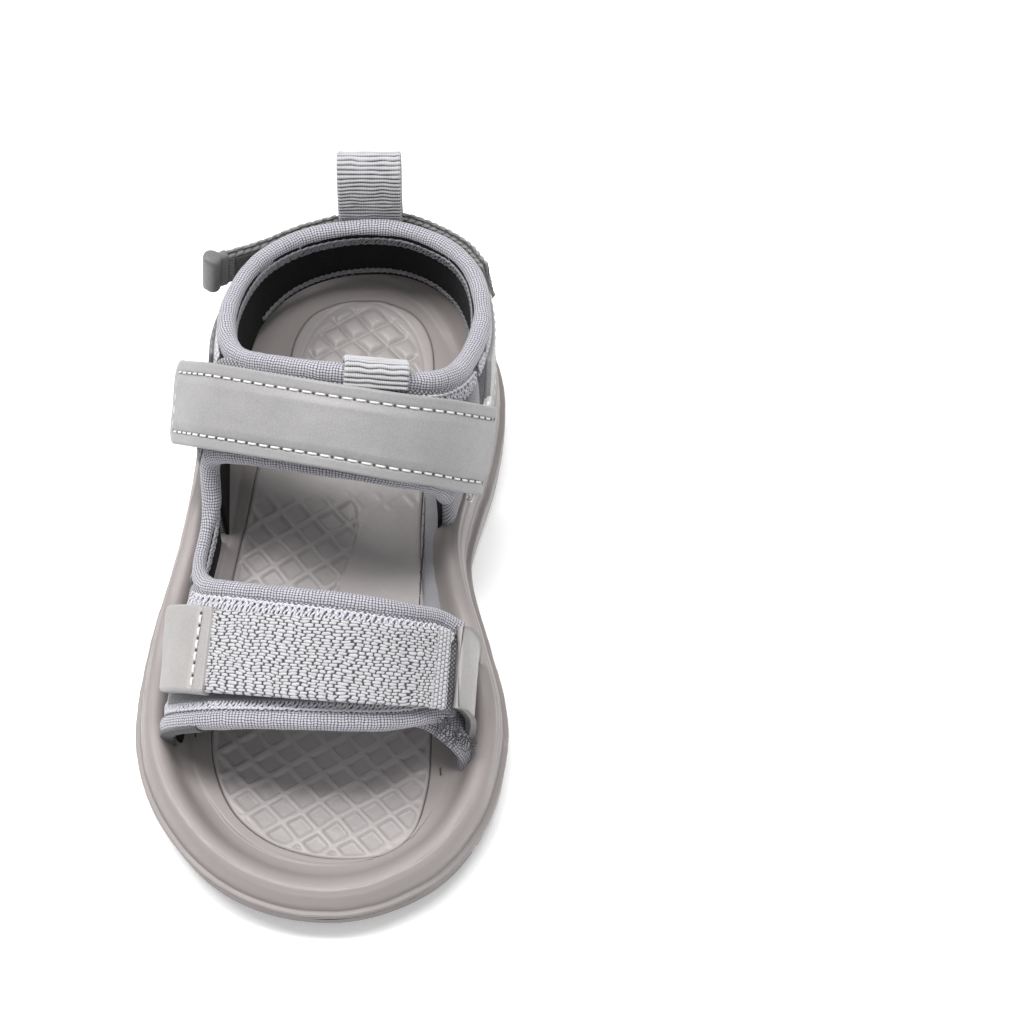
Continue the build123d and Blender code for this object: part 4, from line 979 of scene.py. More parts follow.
tape("window_binding_roll", window_edge, 4.3, 3.3, M_TAPE, "binding_textile", "vamp_rear_binding", "side_wall_binding", "instep_front_binding", seed=2, vary=window_size)
collar = joined(thin(instep_rear_e, 2), thin(flipped(heel_top_e), 2))
collar_edge = Edge(*collar, 520, soften=9, closed=True)
tape("collar_binding_roll", collar_edge, 4.6, 3.2, M_TAPE, "binding_textile", "instep_rear_binding", "heel_top_binding", proud=0.55, tuck=0.65, seed=3)
front_edge = Edge(*thin(vamp_front_e, 2), 260, soften=5)
tape("vamp_front_binding_roll", front_edge, 4.1, 3.2, M_TAPE, "binding_textile", "vamp_front_binding", seed=4, proud=0.5)
lower_e = slice_edge(heel_b, 40, 9, 34, True)
lower_edge = Edge(*thin(lower_e, 2), 300, soften=4)
tape("heel_lower_binding_roll", lower_edge, 3.8, 3.4, M_TAPE_D, "lower_binding_textile", "heel_lower_binding", seed=5, proud=0.5, pucker=0.22)
fa, fx, fn = slice_edge(flap_b, 13, 1, 12, False)
flap_edge = Edge(fa - fn * 1.1, fx, -fn, 160, soften=4)
tape("flap_binding_roll", flap_edge, 5.2, 0.9, M_TAPE, "binding_textile", "medial_flap_binding", seed=6, proud=1.0)

# dark raw edge of the vamp where it runs down into the sole on the outer side
ca, cx, cn = slice_edge(vamp_b, 31, 1, 11, False)
cut_edge = Edge(ca - cn * 0.4 - cx * 0.5, cx, cn, 110, soften=3)
dress(swept("vamp_cut_edge", cut_edge, roll(0.9, 2.6, 0.25, 0.5)), M_CUT, "lower_binding_textile")


# ------------------------------------------------------------------ overlock stitches beside the bindings
def overlock(name, edge, s0, s1, near, far, lift, pitch, radius, mat, seed=1, slot_name="binding_textile", inner=False, thick=4.0):
    rnd = random.Random(seed)
    paths = []
    s = s0
    loops = []
    while s < s1:
        jitter = rnd.uniform(-0.18, 0.18)
        w0, w1 = near + rnd.uniform(-0.25, 0.25), far + rnd.uniform(-0.3, 0.3)
        # one looped thread: out, round and back, overlapping its neighbour
        pts_s = s + jitter + pitch * np.array([0.0, 0.10, 0.30, 0.62, 0.85, 0.72, 0.42, 0.30, 0.55, 0.95, 1.15])
        pts_a = w0 + (w1 - w0) * np.array([0.0, 0.35, 0.75, 1.0, 0.80, 0.45, 0.30, 0.10, -0.05, 0.05, 0.35])
        pts_d = lift + 0.28 * np.array([0.1, 0.7, 1.1, 0.6, 1.0, 1.2, 0.6, 0.2, 0.5, 1.0, 0.7])
        loops.append((pts_s, pts_a, pts_d))
        s += pitch * (1 + rnd.uniform(-0.12, 0.12))
    for a in loops:
        q = np.stack(a, 1)
        q = catmull(q, 26)
        d = q[:, 2] if not inner else -thick - q[:, 2]
        paths.append(edge.at(np.clip(q[:, 0], 0, edge.s[-1]), q[:, 1], d))
    for off, amp in ((near - 0.1, 0.14), (far + 0.05, 0.22)):
        ss = np.linspace(s0, s1, int((s1 - s0) / 0.28))
        d = lift + 0.16 + 0.1 * np.cos(ss * 2 * math.pi / pitch)
        d = d if not inner else -thick - d
        paths.append(edge.at(ss, off + amp * np.sin(ss * 2 * math.pi / pitch), d))
    return dress(tube_mesh(name, paths, radius, 6), mat, slot_name)


def seam_line(name, edge, s0, s1, across, depth, pitch, mat, radius=0.16, gap=0.35, inner=False, thick=4.0, slot_name="binding_textile"):
    paths = []
    s = s0
    while s + pitch < s1:
        f = np.linspace(0, 1, 7)
        ss = s + f * pitch * (1 - gap)
        d = depth + 0.22 * np.sin(math.pi * f) - 0.1
        d = d if not inner else -thick - d
        paths.append(edge.at(ss, np.full(7, across), d))
        s += pitch
    return dress(tube_mesh(name, paths, radius, 6), mat, slot_name)


L = window_edge.s[-1]
overlock("vamp_rear_overlock", window_edge, 1.0, len_v - 1, 4.3, 8.0, 0.30, 1.55, 0.32, M_YARN, 11)
overlock("window_side_overlock", window_edge, len_v + 1, len_v + len_s + 3, 3.4, 6.4, 0.1, 1.4, 0.28, M_YARN, 12, inner=True, thick=2.4)
# instep front loops in the half-brightness yarn: painted shade
overlock("instep_front_overlock", window_edge, len_v + len_s + 8, L - 1, 4.4, 7.8, 0.25, 1.55, 0.30, M_YARN_SHADED, 13)
seam_line("window_needle_line", window_edge, 0.5, L - 1, 3.95, 0.42, 2.3, M_CUT, 0.14, 0.45)
LC = collar_edge.s[-1]
len_i = Edge(*instep_rear_e, 50).s[-1]
overlock("instep_rear_overlock", collar_edge, 1.0, len_i - 1, 4.6, 8.2, 0.25, 1.5, 0.32, M_YARN, 14)
overlock("heel_inside_overlock", collar_edge, len_i + 3, LC - 2, 2.7, 5.2, 0.0, 2.1, 0.34, M_YARN_SHADED, 15, inner=True, thick=3.6)
overlock("heel_outside_overlock", collar_edge, len_i + 3, LC - 2, 4.5, 7.6, 0.25, 1.5, 0.30, M_YARN, 16)
LF = front_edge.s[-1]
overlock("vamp_front_overlock", front_edge, 2.0, LF - 2, 3.8, 5.9, 0.25, 1.6, 0.30, M_YARN, 17)
seam_line("front_needle_line", front_edge, 0.5, LF - 1, 3.75, 0.4, 2.3, M_CUT, 0.13, 0.45)
overlock("flap_overlock", flap_edge, 3, flap_edge.s[-1] - 4, 5.0, 8.2, 0.0, 1.5, 0.28, M_YARN, 18)
overlock("heel_lower_overlock", lower_edge, 2, lower_edge.s[-1] - 2, 3.6, 4.8, 0.0, 1.7, 0.24, M_YARN_SHADED, 19, "lower_binding_textile", inner=True)

# ------------------------------------------------------------------ overlays and loop patches
def panel(name, band, lo, hi, start, stop, top, bottom, mat, slot_name, *nodes, crown=0.15, r=0.45, padded_fill=None):
    part = Band.__new__(Band)
    for key in ("a", "b", "x", "n", "z"):
        setattr(part, key, getattr(band, key)[lo:hi])
    part.w, part.s, part.count = band.w[lo:hi], band.s[lo:hi], hi - lo

    def section(i):
        end = part.w[i] + stop if stop <= 0 else stop
        p = round_box(end - start, top, bottom, r, 24, start)
        t = np.clip((p[:, 0] - start) / (end - start), 0, 1)
        p[:, 1] += np.where(p[:, 1] > (top + bottom) / 2, crown * np.sin(math.pi * t) ** 0.5, 0)
        return p
    ob = lofted(name, part, section)
    return dress(ob, mat, slot_name, "shoe", *nodes, padded=padded_fill)


def span(band, total, first, last):
    n = band.count - 1
    return int(round(first / (total - 1) * n)), int(round((last - 1) / (total - 1) * n)) + 1


panel("lateral_overlay_woven", heel_b, *span(heel_b, 40, 0, 9), 7.6, -5.5, 1.15, 0.1, M_OVER, "overlay_textile", "lateral_overlay")
panel("medial_overlay_leather", heel_b, *span(heel_b, 40, 29, 40), 7.6, -5.0, 1.35, 0.1, M_LEATHER, "strap_leather", "medial_overlay", crown=0.35)
panel("vamp_loop_pile", vamp_b, *span(vamp_b, 31, 6, 26), 5.3, -8.2, 1.05, 0.1, M_LOOP, "loop_tape", "vamp_loop_patch")
panel("instep_loop_pile", instep_b, *span(instep_b, 34, 9, 24), 6.4, -7.4, 1.05, 0.1, M_LOOP, "loop_tape", "instep_loop_patch")
panel("heel_loop_pile", heel_b, *span(heel_b, 40, 1, 8), 9.4, 22.4, 2.1, 1.2, M_LOOP, "loop_tape", "heel_loop_patch")
# stitch rows on the two overlays
for nm, lo_hi, mat in (("lateral_overlay_stitches", (1, 8), M_YARN_SHADED), ("medial_overlay_stitches", (30, 39), M_STITCH)):
    lo, hi = span(heel_b, 40, *lo_hi)
    paths = []
    for which, off in ((0, 9.6), (1, 7.2)):
        base = heel_b.a[lo:hi] + heel_b.x[lo:hi] * off if which == 0 else heel_b.b[lo:hi] - heel_b.x[lo:hi] * off
        e = Edge(base, heel_b.x[lo:hi] * (1 if which == 0 else -1), heel_b.n[lo:hi], 200)
        s = 1.0
        while s < e.s[-1] - 3:
            f = np.linspace(0, 1, 7)
            paths.append(e.at(s + f * 2.1, np.zeros(7), 1.45 + 0.30 * np.sin(math.pi * f) - 0.1))
            s += 3.0
    dress(tube_mesh(nm, paths, 0.24, 6), mat, "overlay_textile")


# ------------------------------------------------------------------ woven webbing
def webbing(name, band, top, bottom, weave, mat, slot_name, body, *nodes, across_n=90, selvage=0.9):
    """Both faces and the edges of a webbing, its yarns raised from the surface."""
    n = band.count
    t = np.linspace(0, 1, across_n)
    s = np.repeat(band.s[:, None], across_n, 1)
    w = np.repeat(band.w[:, None], across_n, 1)
    v = w * t[None]
    h, tone = weave(s, v, w)
    edge = np.clip(np.minimum(v, w - v) / selvage, 0, 1)
    drop = (1 - np.sqrt(1 - (1 - edge) ** 2)) * (abs(top - bottom) / 2)
    up = top - drop + h
    dn = bottom + drop - h * 0.6
    P1 = band.a[:, None] + band.x[:, None] * v[..., None] + band.n[:, None] * up[..., None]
    P2 = band.a[:, None] + band.x[:, None] * v[..., None] + band.n[:, None] * dn[..., None]
    loop = np.concatenate([P1, P2[:, ::-1]], 1)
    tn = np.concatenate([tone, tone[:, ::-1]], 1)
    m = loop.shape[1]
    uv = np.stack([np.repeat(band.s[:, None], m, 1), np.concatenate([v, 30 + v[:, ::-1]], 1)], -1).reshape(-1, 2)
    verts = np.vstack([loop.reshape(-1, 3), loop[0].mean(0), loop[-1].mean(0)])
    uv = np.vstack([uv, [0, 0], [0, 0]])
    att = np.concatenate([tn.ravel(), [0.2, 0.2]])
    j = np.arange(m)
    j2 = (j + 1) % m
    c = n * m
    tris = np.vstack([np.stack([np.full(m, c), j, j2], -1), np.stack([np.full(m, c + 1), (n - 1) * m + j2, (n - 1) * m + j], -1)])
    return dress(mixed_mesh(name, verts, grid_faces(n, m, False, True), tris, uv, {"weave": att}), mat, slot_name, body, *nodes)


def jacquard(s, v, w):
    """Staggered slanted floats: each yarn is a short raised bead with a dark gap under it."""
    s2 = s + 0.7 * value_noise(s, v, 31, 5.0) + 0.30 * value_noise(s, v, 33, 1.1)
    v2 = v + 0.34 * value_noise(s, v, 32, 4.0) + 0.16 * value_noise(s, v, 35, 1.2)
    slant = v2 + 0.05 * s2
    pitch_v, pitch_s = 0.72, 2.15
    row = slant / pitch_v
    k = np.floor(row)
    f = row - k
    cell = np.random.RandomState(5).rand(997)
    along = s2 / pitch_s + 0.5 * (k % 2) + 0.55 * cell[(k.astype(int) * 7) % 997]
    ka = np.floor(along)
    g = along - ka
    vary = cell[(k.astype(int) * 31 + ka.astype(int) * 17) % 997]
    long_ = np.clip(np.sin(math.pi * np.clip(g * (1.10 + 0.12 * vary), 0, 1)), 0, 1) ** 0.36
    bead = np.clip(np.sin(math.pi * f), 0, 1) ** 0.85 * long_
    h = bead * (0.18 + 0.14 * vary)
    tone = np.clip(bead * (0.85 + 0.4 * vary), 0, 1)
    return h, tone


wv = sample_range(VAMP_STRAP, 25, 3, 22, 420)


def vamp_weave(s, v, w):
    h, tone = jacquard(s, v, w)
    # bead-like columns near both sewn ends
    total = s.max()
    for zone in (step(total - 5.0, total - 3.6, s), 1 - step(5.2, 6.6, s)):
        col = s / 1.25
        kc = np.floor(col)
        row = v / 1.02 + 0.5 * (kc % 2)
        b = np.clip(np.sin(math.pi * (col - kc)), 0, 1) ** 0.6 * np.clip(np.sin(math.pi * (row - np.floor(row))), 0, 1) ** 0.6
        h = h * (1 - zone) + 0.30 * b * zone
        tone = tone * (1 - zone) + b * zone
    return h, tone


webbing("vamp_webbing_woven", wv, 0.0, -1.45, vamp_weave, M_WEB, "strap_webbing", "vamp_strap", "vamp_strap_webbing", across_n=130)
vline = Band(VAMP_STRAP, 240)


def slice_band(band, lo, hi):
    part = Band.__new__(Band)
    for key in ("a", "b", "x", "n", "z"):
        setattr(part, key, getattr(band, key)[lo:hi])
    part.w, part.s, part.count = band.w[lo:hi], band.s[lo:hi] - band.s[lo], hi - lo
    return part


def leather_loft(name, band, start, stop, top, bottom, mat, slot_name, body, *nodes, r=0.5, shape=None, corner=0.0, corner_end=0.0, nflat=70):
    """Leather strip; shape(s, v, w) raises or presses its outer face."""
    total = band.s[-1]

    def section(i):
        s = band.s[i]
        lo, hi = start, band.w[i] + stop
        for c, q in ((corner, s), (corner_end, total - s)):
            if c and q < c:
                k_ = c - math.sqrt(max(0.0, c * c - (c - q) ** 2))
                lo, hi = lo + k_, hi - k_
        p = round_box(hi - lo, top, bottom, r, nflat, lo)
        if shape is not None:
            up = p[:, 1] > (top + bottom) / 2
            lift = shape(np.full(len(p), s), p[:, 0], np.full(len(p), band.w[i]))
            p[:, 1] += np.where(up, lift, 0)
        return p
    return dress(lofted(name, band, section), mat, slot_name, body, *nodes)


def tab_shape(s, v, w):
    seam = tab_end - 3.1
    g = -0.45 * np.exp(-((s - seam) / 0.55) ** 2)
    puff = 0.35 * np.sin(math.pi * np.clip(s / seam, 0, 1)) ** 0.5 * (s < seam)
    return g + puff + 0.12 * value_noise(s, v, 41, 4.0)


tabb = slice_band(vline, 0, int(6 / 24 * 239) + 1)
tab_end = tabb.s[-1]
leather_loft("vamp_tab_leather", tabb, -0.5, 0.3, 1.0, -2.4, M_LEATHER_L, "tab_leather", "vamp_strap", "vamp_strap_tab", shape=tab_shape, corner=1.2, r=0.7)


def dashes(name, band, path, depth, length, pitch, radius, mat, slot_name, body, lift=0.25, hole=None, hole_mat=None):
    """Lock stitches along a path of (s, v) on a band, with a dark needle hole between them."""
    q = resample(np.asarray(path, float), 900)
    acc = np.concatenate([[0], np.cumsum(np.linalg.norm(np.diff(q, axis=0), axis=1))])
    total = acc[-1]
    count = max(1, int(total / pitch))
    pitch = total / count

    def place(a, d):
        s = np.interp(a, acc, q[:, 0])
        v = np.interp(a, acc, q[:, 1])
        A = [np.stack([np.interp(s, band.s, arr[:, j]) for j in range(3)], 1) for arr in (band.a, band.x, band.n)]
        return A[0] + A[1] * v[:, None] + A[2] * np.asarray(d)[..., None]
    paths, holes = [], []
    rnd = random.Random(len(name))
    for c in range(count):
        a0 = c * pitch + rnd.uniform(-0.08, 0.08)
        f = np.linspace(0, 1, 9)
        paths.append(place(np.clip(a0 + f * length, 0, total), depth - 0.18 + lift * 1.6 * np.sin(math.pi * f) ** 0.6))
        if hole:
            h = a0 + length + (pitch - length) / 2
            holes.append(place(np.clip(h + np.array([-0.32, -0.16, 0, 0.16, 0.32]), 0, total), np.full(5, depth + 0.02)))
    dress(tube_mesh(name, paths, radius, 8), mat, slot_name, body)
    if hole:
        dress(tube_mesh(name + "_holes", holes, hole, 8), hole_mat, slot_name, body)


dashes("vamp_tab_stitches", tabb, [(tab_end - 3.1, 0.9), (tab_end - 3.1, tabb.w[-1] - 1.0)], 0.72, 2.0, 2.75, 0.30, M_STITCH, "tab_leather", "vamp_strap", 0.22, 0.26, M_CUT)
hk = slice_band(vline, *[int(q / 24 * 239) for q in (8, 16)])
dress(lofted("vamp_hook_pile", hk, lambda i: round_box(hk.w[i] - 2.4, -1.5, -2.5, 0.35, 30, 1.2)), M_HOOK, "hook_tape", "vamp_strap", "vamp_strap_hook")
for nd, b_ in (("medial", keeper_b),):
    def keeper_section(i, b_=b_):
        w = b_.w[i]
        p = round_box(w + 0.6, 0.0, 1.35, 0.6, 40, -0.3)
        p[:, 1] += 1.9 * (1 - i / (b_.count - 1))
        t = np.clip(p[:, 0] / w, 0, 1)
        p[:, 1] -= np.where(p[:, 1] < 0.65, 0.55 * np.sin(math.pi * t) ** 0.8, 0)
        return p
    dress(lofted("vamp_anchor_leather", b_, keeper_section), M_LEATHER_L, "tab_leather", "shoe", "vamp_strap_anchor")
# frayed dark cloth between the anchor, the flap and the webbing
rnd = random.Random(77)
fr = []
for i in range(70):
    t = rnd.random()
    base = np.array([27.5 + 8.0 * t, -54.2 + 1.6 * t, 33.5 - 12.0 * t]) + np.array([rnd.uniform(-1, 1), rnd.uniform(-0.6, 1.2), rnd.uniform(-1.5, 1.5)])
    d = np.array([rnd.uniform(-1, 1), rnd.uniform(-1, 0.2), rnd.uniform(-1, 0.6)])
    d /= np.linalg.norm(d)
    k_ = np.linspace(0, 1, 9)[:, None]
    curl = np.array([rnd.uniform(-1, 1), rnd.uniform(-1, 1), rnd.uniform(-1, 1)]) * 0.8
    fr.append(base + d * k_ * rnd.uniform(1.5, 3.2) + curl * np.sin(k_ * 3) * 0.6)
dress(tube_mesh("flap_frayed_threads", fr, 0.11, 5), M_CUT, "lower_binding_textile")

# ------------------------------------------------------------------ instep strap
iline = Band(INSTEP_STRAP, 420)
ITOT = iline.s[-1]


def strap_shape(s, v, w):
    edge = np.minimum(v, w - v)
    e2 = np.where(s < 12, np.minimum(edge, s), edge)
    pad = 0.75 * step(2.6, 5.2, e2) + 0.10 * step(6, 9, e2)
    groove = -0.28 * np.exp(-((e2 - 2.75) / 0.5) ** 2)
    return pad + groove + 0.10 * value_noise(s, v, 51, 6.0) + 0.04 * value_noise(s, v, 52, 2.2)


leather_loft("instep_strap_leather_top", iline, -0.2, 0.2, 0.15, -1.1, M_LEATHER, "strap_leather", "instep_strap", "instep_strap_leather", "instep_strap_padding",
             r=0.6, shape=strap_shape, corner=3.4, nflat=90)
end_w = iline.w[-1]
# the end turns down round the ring bar and runs back underneath
ea, ex_, en, ez = iline.a[-1], iline.x[-1], iline.n[-1], iline.z[-1]
mid = ea + ex_ * end_w / 2
if np.dot(ez, iline.a[-1] - iline.a[-8]) < 0:
    ez = -ez
FR = 1.65
centre = mid + en * (-0.55 - FR)
secs = []
for a in np.linspace(0, math.pi, 26):
    n_ = en * math.cos(a) + ez * math.sin(a)
    secs.append((centre + n_ * FR, n_))
for back_ in np.linspace(0.6, 8.0, 14):
    k_ = int(np.searchsorted(iline.s, ITOT - back_)) - 1
    n_ = -iline.n[k_]
    secs.append((iline.a[k_] + iline.x[k_] * iline.w[k_] / 2 + iline.n[k_] * (-0.55 - 2 * FR), n_))
box = round_box(end_w + 0.3, 0.6, -0.55, 0.5, 40, -(end_w + 0.3) / 2)
pts = np.array([c + ex_ * box[:, :1] + n_ * box[:, 1:] for c, n_ in secs])
ln = np.concatenate([[0], np.cumsum(np.linalg.norm(np.diff(np.array([s_[0] for s_ in secs]), axis=0), axis=1))])
uv = np.stack([np.repeat(ln[:, None], len(box), 1), np.tile(box[:, 0], (len(secs), 1))], -1).reshape(-1, 2)
dress(mesh_from("instep_strap_fold", pts.reshape(-1, 3), grid_faces(len(secs), len(box), False, True), uv), M_LEATHER, "strap_leather", "instep_strap")
def row(v0, s0, s1, n=60):
    return [(s, v0 if v0 > 0 else np.interp(s, iline.s, iline.w) + v0) for s in np.linspace(s0, s1, n)]


c = 2.75
arc0 = [(c + 2.0 - 2.0 * math.sin(t), c + 2.0 - 2.0 * math.cos(t)) for t in np.linspace(0.0, math.pi / 2, 8)]
wl = iline.w[0]
arc1 = [(c + 2.0 - 2.0 * math.cos(t), wl - c - 2.0 + 2.0 * math.sin(t)) for t in np.linspace(0.0, math.pi / 2, 8)]
stitch_path = row(c, ITOT - 1.5, c + 2.0) + arc0 + arc1 + row(-c, c + 2.0, ITOT - 1.5)
dashes("instep_strap_stitches", iline, stitch_path, 0.02, 2.25, 3.15, 0.25, M_STITCH, "strap_leather", "instep_strap", 0.22, 0.27, M_CUT)
hk2 = slice_band(iline, int(3 / 24 * 419), int(14 / 24 * 419))
dress(lofted("instep_hook_pile", hk2, lambda i: round_box(hk2.w[i] - 4.0, -1.0, -2.85, 0.35, 30, 2.0)), M_HOOK, "hook_tape", "instep_strap", "instep_strap_hook")
# dark napped backing seen below the medial end
bk = slice_band(iline, int(15.5 / 24 * 419), 412)
dress(lofted("instep_strap_backing", bk, lambda i: round_box(bk.w[i] - 0.6, -1.05, -2.2, 0.35, 30, 0.0)), M_HOOK, "hook_tape", "instep_strap")

# moulded ring, rounded bar
hang = np.array([-0.20, 0.20, -1.0])
rz = norm(hang - ex_ * np.dot(hang, ex_))
rn = np.cross(rz, ex_)
RL, RB = 7.0, 1.2
ring_mid = centre + rz * (RL / 2 - RB / 2)
hw, hl, rc = (end_w + 5.0) / 2 - RB / 2, RL / 2 - RB / 2, 1.6
loop = []
for sx, sl, a0 in ((1, 1, 0), (-1, 1, 90), (-1, -1, 180), (1, -1, 270)):
    for t in np.radians(np.linspace(a0, a0 + 90, 9)):
        loop.append(ring_mid + ex_ * (sx * (hw - rc) + rc * math.cos(t)) + rz * (sl * (hl - rc) + rc * math.sin(t)))
loop = resample(np.array(loop), 160, True)
tt_ = norm(np.roll(loop, -1, 0) - np.roll(loop, 1, 0))
side_v = np.cross(tt_, rn)
ang = np.linspace(0, 2 * math.pi, 12, endpoint=False)
ringv = loop[:, None] + 0.62 * (np.cos(ang)[None, :, None] * side_v[:, None] + np.sin(ang)[None, :, None] * rn[None, None])
uvr = np.stack([np.repeat(np.arange(160)[:, None] * 0.3, 12, 1), np.tile(ang, (160, 1))], -1).reshape(-1, 2)
dress(mesh_from("instep_ring_clear", ringv.reshape(-1, 3), grid_faces(160, 12, True, True), uvr), M_RING, "ring_plastic", "shoe", "instep_ring")
for nm, mt in (("instep_ring_tab", M_WEB_D),):
    ob = bpy.data.objects[nm]
    ob.data.materials.clear()
    ob.data.materials.append(mt)


# ------------------------------------------------------------------ grosgrain loops
def ribbon(name, centre_path, across, normals, width, thick, rib_pitch, slot_name, *nodes, dark_inside=False):
    """Ribbed ribbon along a path: real ribs across it, a raised bead along each selvage."""
    p = np.asarray(centre_path, float)
    acc = np.concatenate([[0], np.cumsum(np.linalg.norm(np.diff(p, axis=0), axis=1))])
    n = int(acc[-1] / 0.13)
    s = np.linspace(0, acc[-1], n)
    p = np.stack([np.interp(s, acc, p[:, k]) for k in range(3)], 1)
    nn = norm(np.stack([np.interp(s, acc, np.asarray(normals)[:, k]) for k in range(3)], 1))
    m = 46
    t = np.linspace(-0.5, 0.5, m)
    sway = 0.20 * value_noise(s[:, None] + 0 * t[None], t[None] * width + 0 * s[:, None], 62, 2.6)
    wave = np.abs(np.sin(math.pi * ((s[:, None] + sway) / rib_pitch))) ** 0.75
    wob = 0.06 * value_noise(s[:, None] + 0 * t[None], t[None] * width + 0 * s[:, None], 61, 2.0)
    edge = np.clip((0.5 - np.abs(t)) * width / 0.55, 0, 1)[None]
    bead = np.exp(-(((0.5 - np.abs(t)) * width - 0.5) / 0.35) ** 2)[None]
    side_in = 0.10 * (1 - wave)
    h = 0.42 * wave * (0.5 + 0.5 * edge) + 0.10 * bead + wob
    half = thick / 2 * (0.35 + 0.65 * np.sqrt(edge))
    ax = np.asarray(across, float)
    ax = np.repeat(ax[None], n, 0) if ax.ndim == 1 else norm(np.stack([np.interp(s, acc, ax[:, k]) for k in range(3)], 1))
    off = (t * width)[None] * (1 - side_in / width * 2)
    P1 = p[:, None] + ax[:, None] * off[..., None] + nn[:, None] * (half + h)[..., None]
    P2 = p[:, None] + ax[:, None] * off[..., None] - nn[:, None] * (half + h * 0.8)[..., None]
    loop_ = np.concatenate([P1, P2[:, ::-1]], 1)
    mm = loop_.shape[1]
    rib = np.clip(wave + 2 * wob, 0, 1)
    att = np.concatenate([rib, rib[:, ::-1]], 1)
    uv = np.stack([np.repeat(s[:, None], mm, 1), np.tile(np.concatenate([t * width, 40 + t[::-1] * width]), (n, 1))], -1).reshape(-1, 2)
    verts = np.vstack([loop_.reshape(-1, 3), loop_[0].mean(0), loop_[-1].mean(0)])
    uv = np.vstack([uv, [0, 0], [0, 0]])
    j = np.arange(mm)
    j2 = (j + 1) % mm
    c = n * mm
    tris = np.vstack([np.stack([np.full(mm, c), j, j2], -1), np.stack([np.full(mm, c + 1), (n - 1) * mm + j2, (n - 1) * mm + j], -1)])
    return dress(mixed_mesh(name, verts, grid_faces(n, mm, False, True), tris, uv, {"rib": np.concatenate([att.ravel(), [0.1, 0.1]])}),
                 M_RIB, slot_name, "shoe", *nodes)


pull = catmull(PULL, 200) + [SY, 0]
d_ = norm(np.gradient(pull, axis=0))
ribbon("pull_tab_ribbon", np.column_stack([np.full(200, 9.5 + SX), pull]), np.array([1.0, 0, 0]), np.column_stack([np.zeros(200), -d_[:, 1], d_[:, 0]]),
       15.6, 0.7, 1.05, "ribbon_grosgrain", "pull_tab")
k19 = int(round(19 / 33 * (instep_b.count - 1)))
ra, rx, rn_, rz_, rw = (getattr(instep_b, q)[k19] for q in ("a", "x", "n", "z", "w"))
redge = ra + rx * rw
rp = catmull(RIBBON, 120)
d_ = norm(np.gradient(rp, axis=0))
path3 = redge + rx * rp[:, :1] + rn_ * rp[:, 1:]
nr = rx * -d_[:, 1:] + rn_ * d_[:, :1]
ribbon("tongue_loop_ribbon", path3, rz_, nr, 14.8, 0.6, 1.15, "ribbon_grosgrain", "tongue_loop")

# ------------------------------------------------------------------ heel strap


def braid(s, v, w):
    """Coarse plaited webbing with rope-like edges."""
    k = np.floor(v / 1.5)
    phase = s / 2.3 + 0.5 * (k % 2)
    f = v / 1.5 - k
    slant = np.where(k % 2 == 0, 1, -1) * (f - 0.5) * 0.9
    g = phase + slant
    g = g - np.floor(g)
    b = np.clip(np.sin(math.pi * g), 0, 1) ** 0.5 * np.clip(np.sin(math.pi * f), 0, 1) ** 0.45
    edge = np.minimum(v, w - v) < 1.5
    h = b * np.where(edge, 0.55, 0.38)
    return h + 0.06 * value_noise(s, v, 71, 1.2), np.clip(b, 0, 1)


fixed_b = Band([((0.7, 80.9, 49.7), (0.7, 84.2, 35.1))] + FIXED[1:], 300)
free_b = Band(FREE[:-1] + [((0.9, 81.0, 49.9), (0.8, 84.4, 35.3))], 300)
webbing("heel_webbing_fixed_braid", fixed_b, -0.1, -1.5, braid, M_WEB_D, "heel_webbing", "shoe", "heel_webbing_fixed", across_n=80)
fw = slice_band(free_b, int(1.8 / 15 * 299), 300)
webbing("heel_strap_braid", fw, -0.1, -1.5, braid, M_WEB_D, "heel_webbing", "heel_strap", "heel_strap_webbing", across_n=80)
hk3 = slice_band(free_b, int(4 / 15 * 299), int(9 / 15 * 299))
dress(lofted("heel_hook_pile", hk3, lambda i: round_box(hk3.w[i] - 2.4, -1.5, -2.45, 0.35, 30, 1.2)), M_HOOK, "hook_tape", "heel_strap", "heel_strap_hook")
ft = slice_band(free_b, 0, int(3.2 / 15 * 299))
FT = ft.s[-1]
def heel_tab_section(i):
    q = ft.s[i]
    bulb = math.sqrt(max(0.0, 2.35 ** 2 - (q - 2.35) ** 2)) if q < 4.7 else 0.0
    half = max(bulb, 1.35 if q > 2.35 else 0.0, 0.30)
    inset = 0.5 * max(0.0, 1.0 - q / 1.6) ** 2
    p = round_box(ft.w[i] + 0.7 - 2 * inset, -0.75 + half, -0.75 - half, min(1.2, half * 0.9), 40, -0.35 + inset)
    p[:, 1] += np.where(p[:, 1] > -0.75, -0.25 * math.exp(-((q - FT + 1.6) / 0.4) ** 2), 0)
    return p


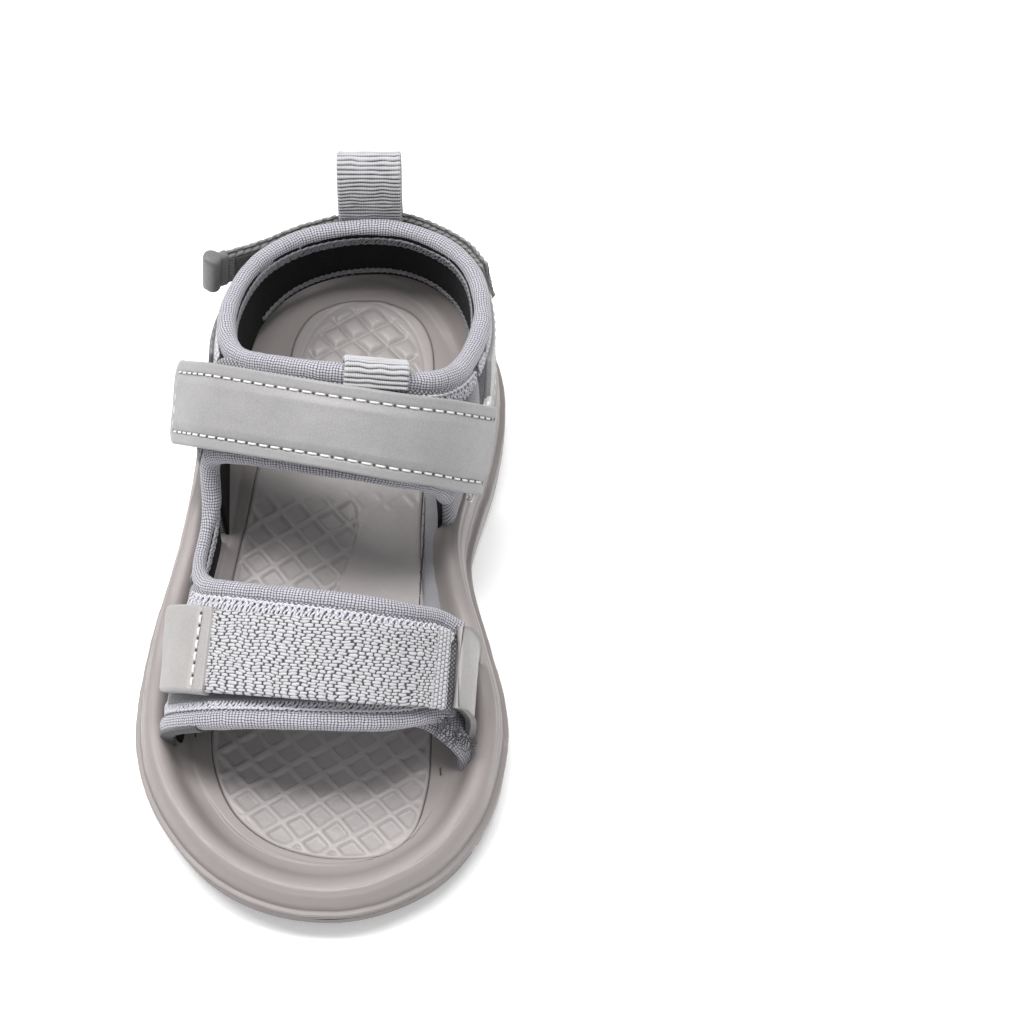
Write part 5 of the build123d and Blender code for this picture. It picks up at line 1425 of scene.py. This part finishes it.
dress(lofted("heel_tab_leather", ft, heel_tab_section), M_LEATHER_D, "tab_leather", "heel_strap", "heel_strap_tab")
dashes("heel_tab_stitches", ft, [(FT - 1.6, 1.0), (FT - 1.6, ft.w[-1] - 1.0)], 0.35, 1.9, 2.7, 0.24, M_STITCH, "tab_leather", "heel_strap", 0.2)

# ------------------------------------------------------------------ floor, light, finish
floor_me = bpy.data.meshes.new("floor")
floor_me.from_pydata([(-4, -4, 0), (4, -4, 0), (4, 4, 0), (-4, 4, 0)], [], [(0, 1, 2, 3)])
floor = bpy.data.objects.new("floor", floor_me)
bpy.context.scene.collection.objects.link(floor)
fm = Mat("studio_floor")
fm.finish((0.90, 0.90, 0.90), 0.9, spec=0.1)
fm.b.inputs["Emission Color"].default_value = (1, 1, 1, 1)
fm.b.inputs["Emission Strength"].default_value = 0.22
floor.data.materials.append(fm.m)

world = bpy.data.worlds.new("studio")
bpy.context.scene.world = world
world.use_nodes = True
bg = [n for n in world.node_tree.nodes if n.type == "BACKGROUND"][0]
bg.inputs[0].default_value = (0.97, 0.985, 1.0, 1)
bg.inputs[1].default_value = 0.58


def area_light(name, loc, target, size, power, color=(1, 1, 1)):
    d = bpy.data.lights.new(name, "AREA")
    d.shape, d.size, d.size_y = "RECTANGLE", size[0], size[1]
    d.energy, d.color = power, color
    o = bpy.data.objects.new(name, d)
    bpy.context.scene.collection.objects.link(o)
    o.location = loc
    o.rotation_euler = (Vector(target) - Vector(loc)).to_track_quat("-Z", "Y").to_euler()
    return o


area_light("key_softbox", (-0.48, 0.16, 1.22), (0, 0, 0.03), (0.50, 0.40), 12.0, (1.0, 0.99, 0.975))
area_light("front_overhead", (0.16, -0.06, 1.05), (0, 0.05, 0.02), (0.22, 0.20), 3.6, (1.0, 0.995, 0.985))
area_light("heel_fill", (0.0, -0.03, 0.75), (0, 0.07, 0.015), (0.10, 0.10), 1.2, (1.0, 0.99, 0.98))
area_light("back_rim", (-0.30, 1.2, 0.9), (0, 0, 0.05), (1.0, 0.4), 3.0)
bpy.context.scene.view_settings.view_transform = "Standard"
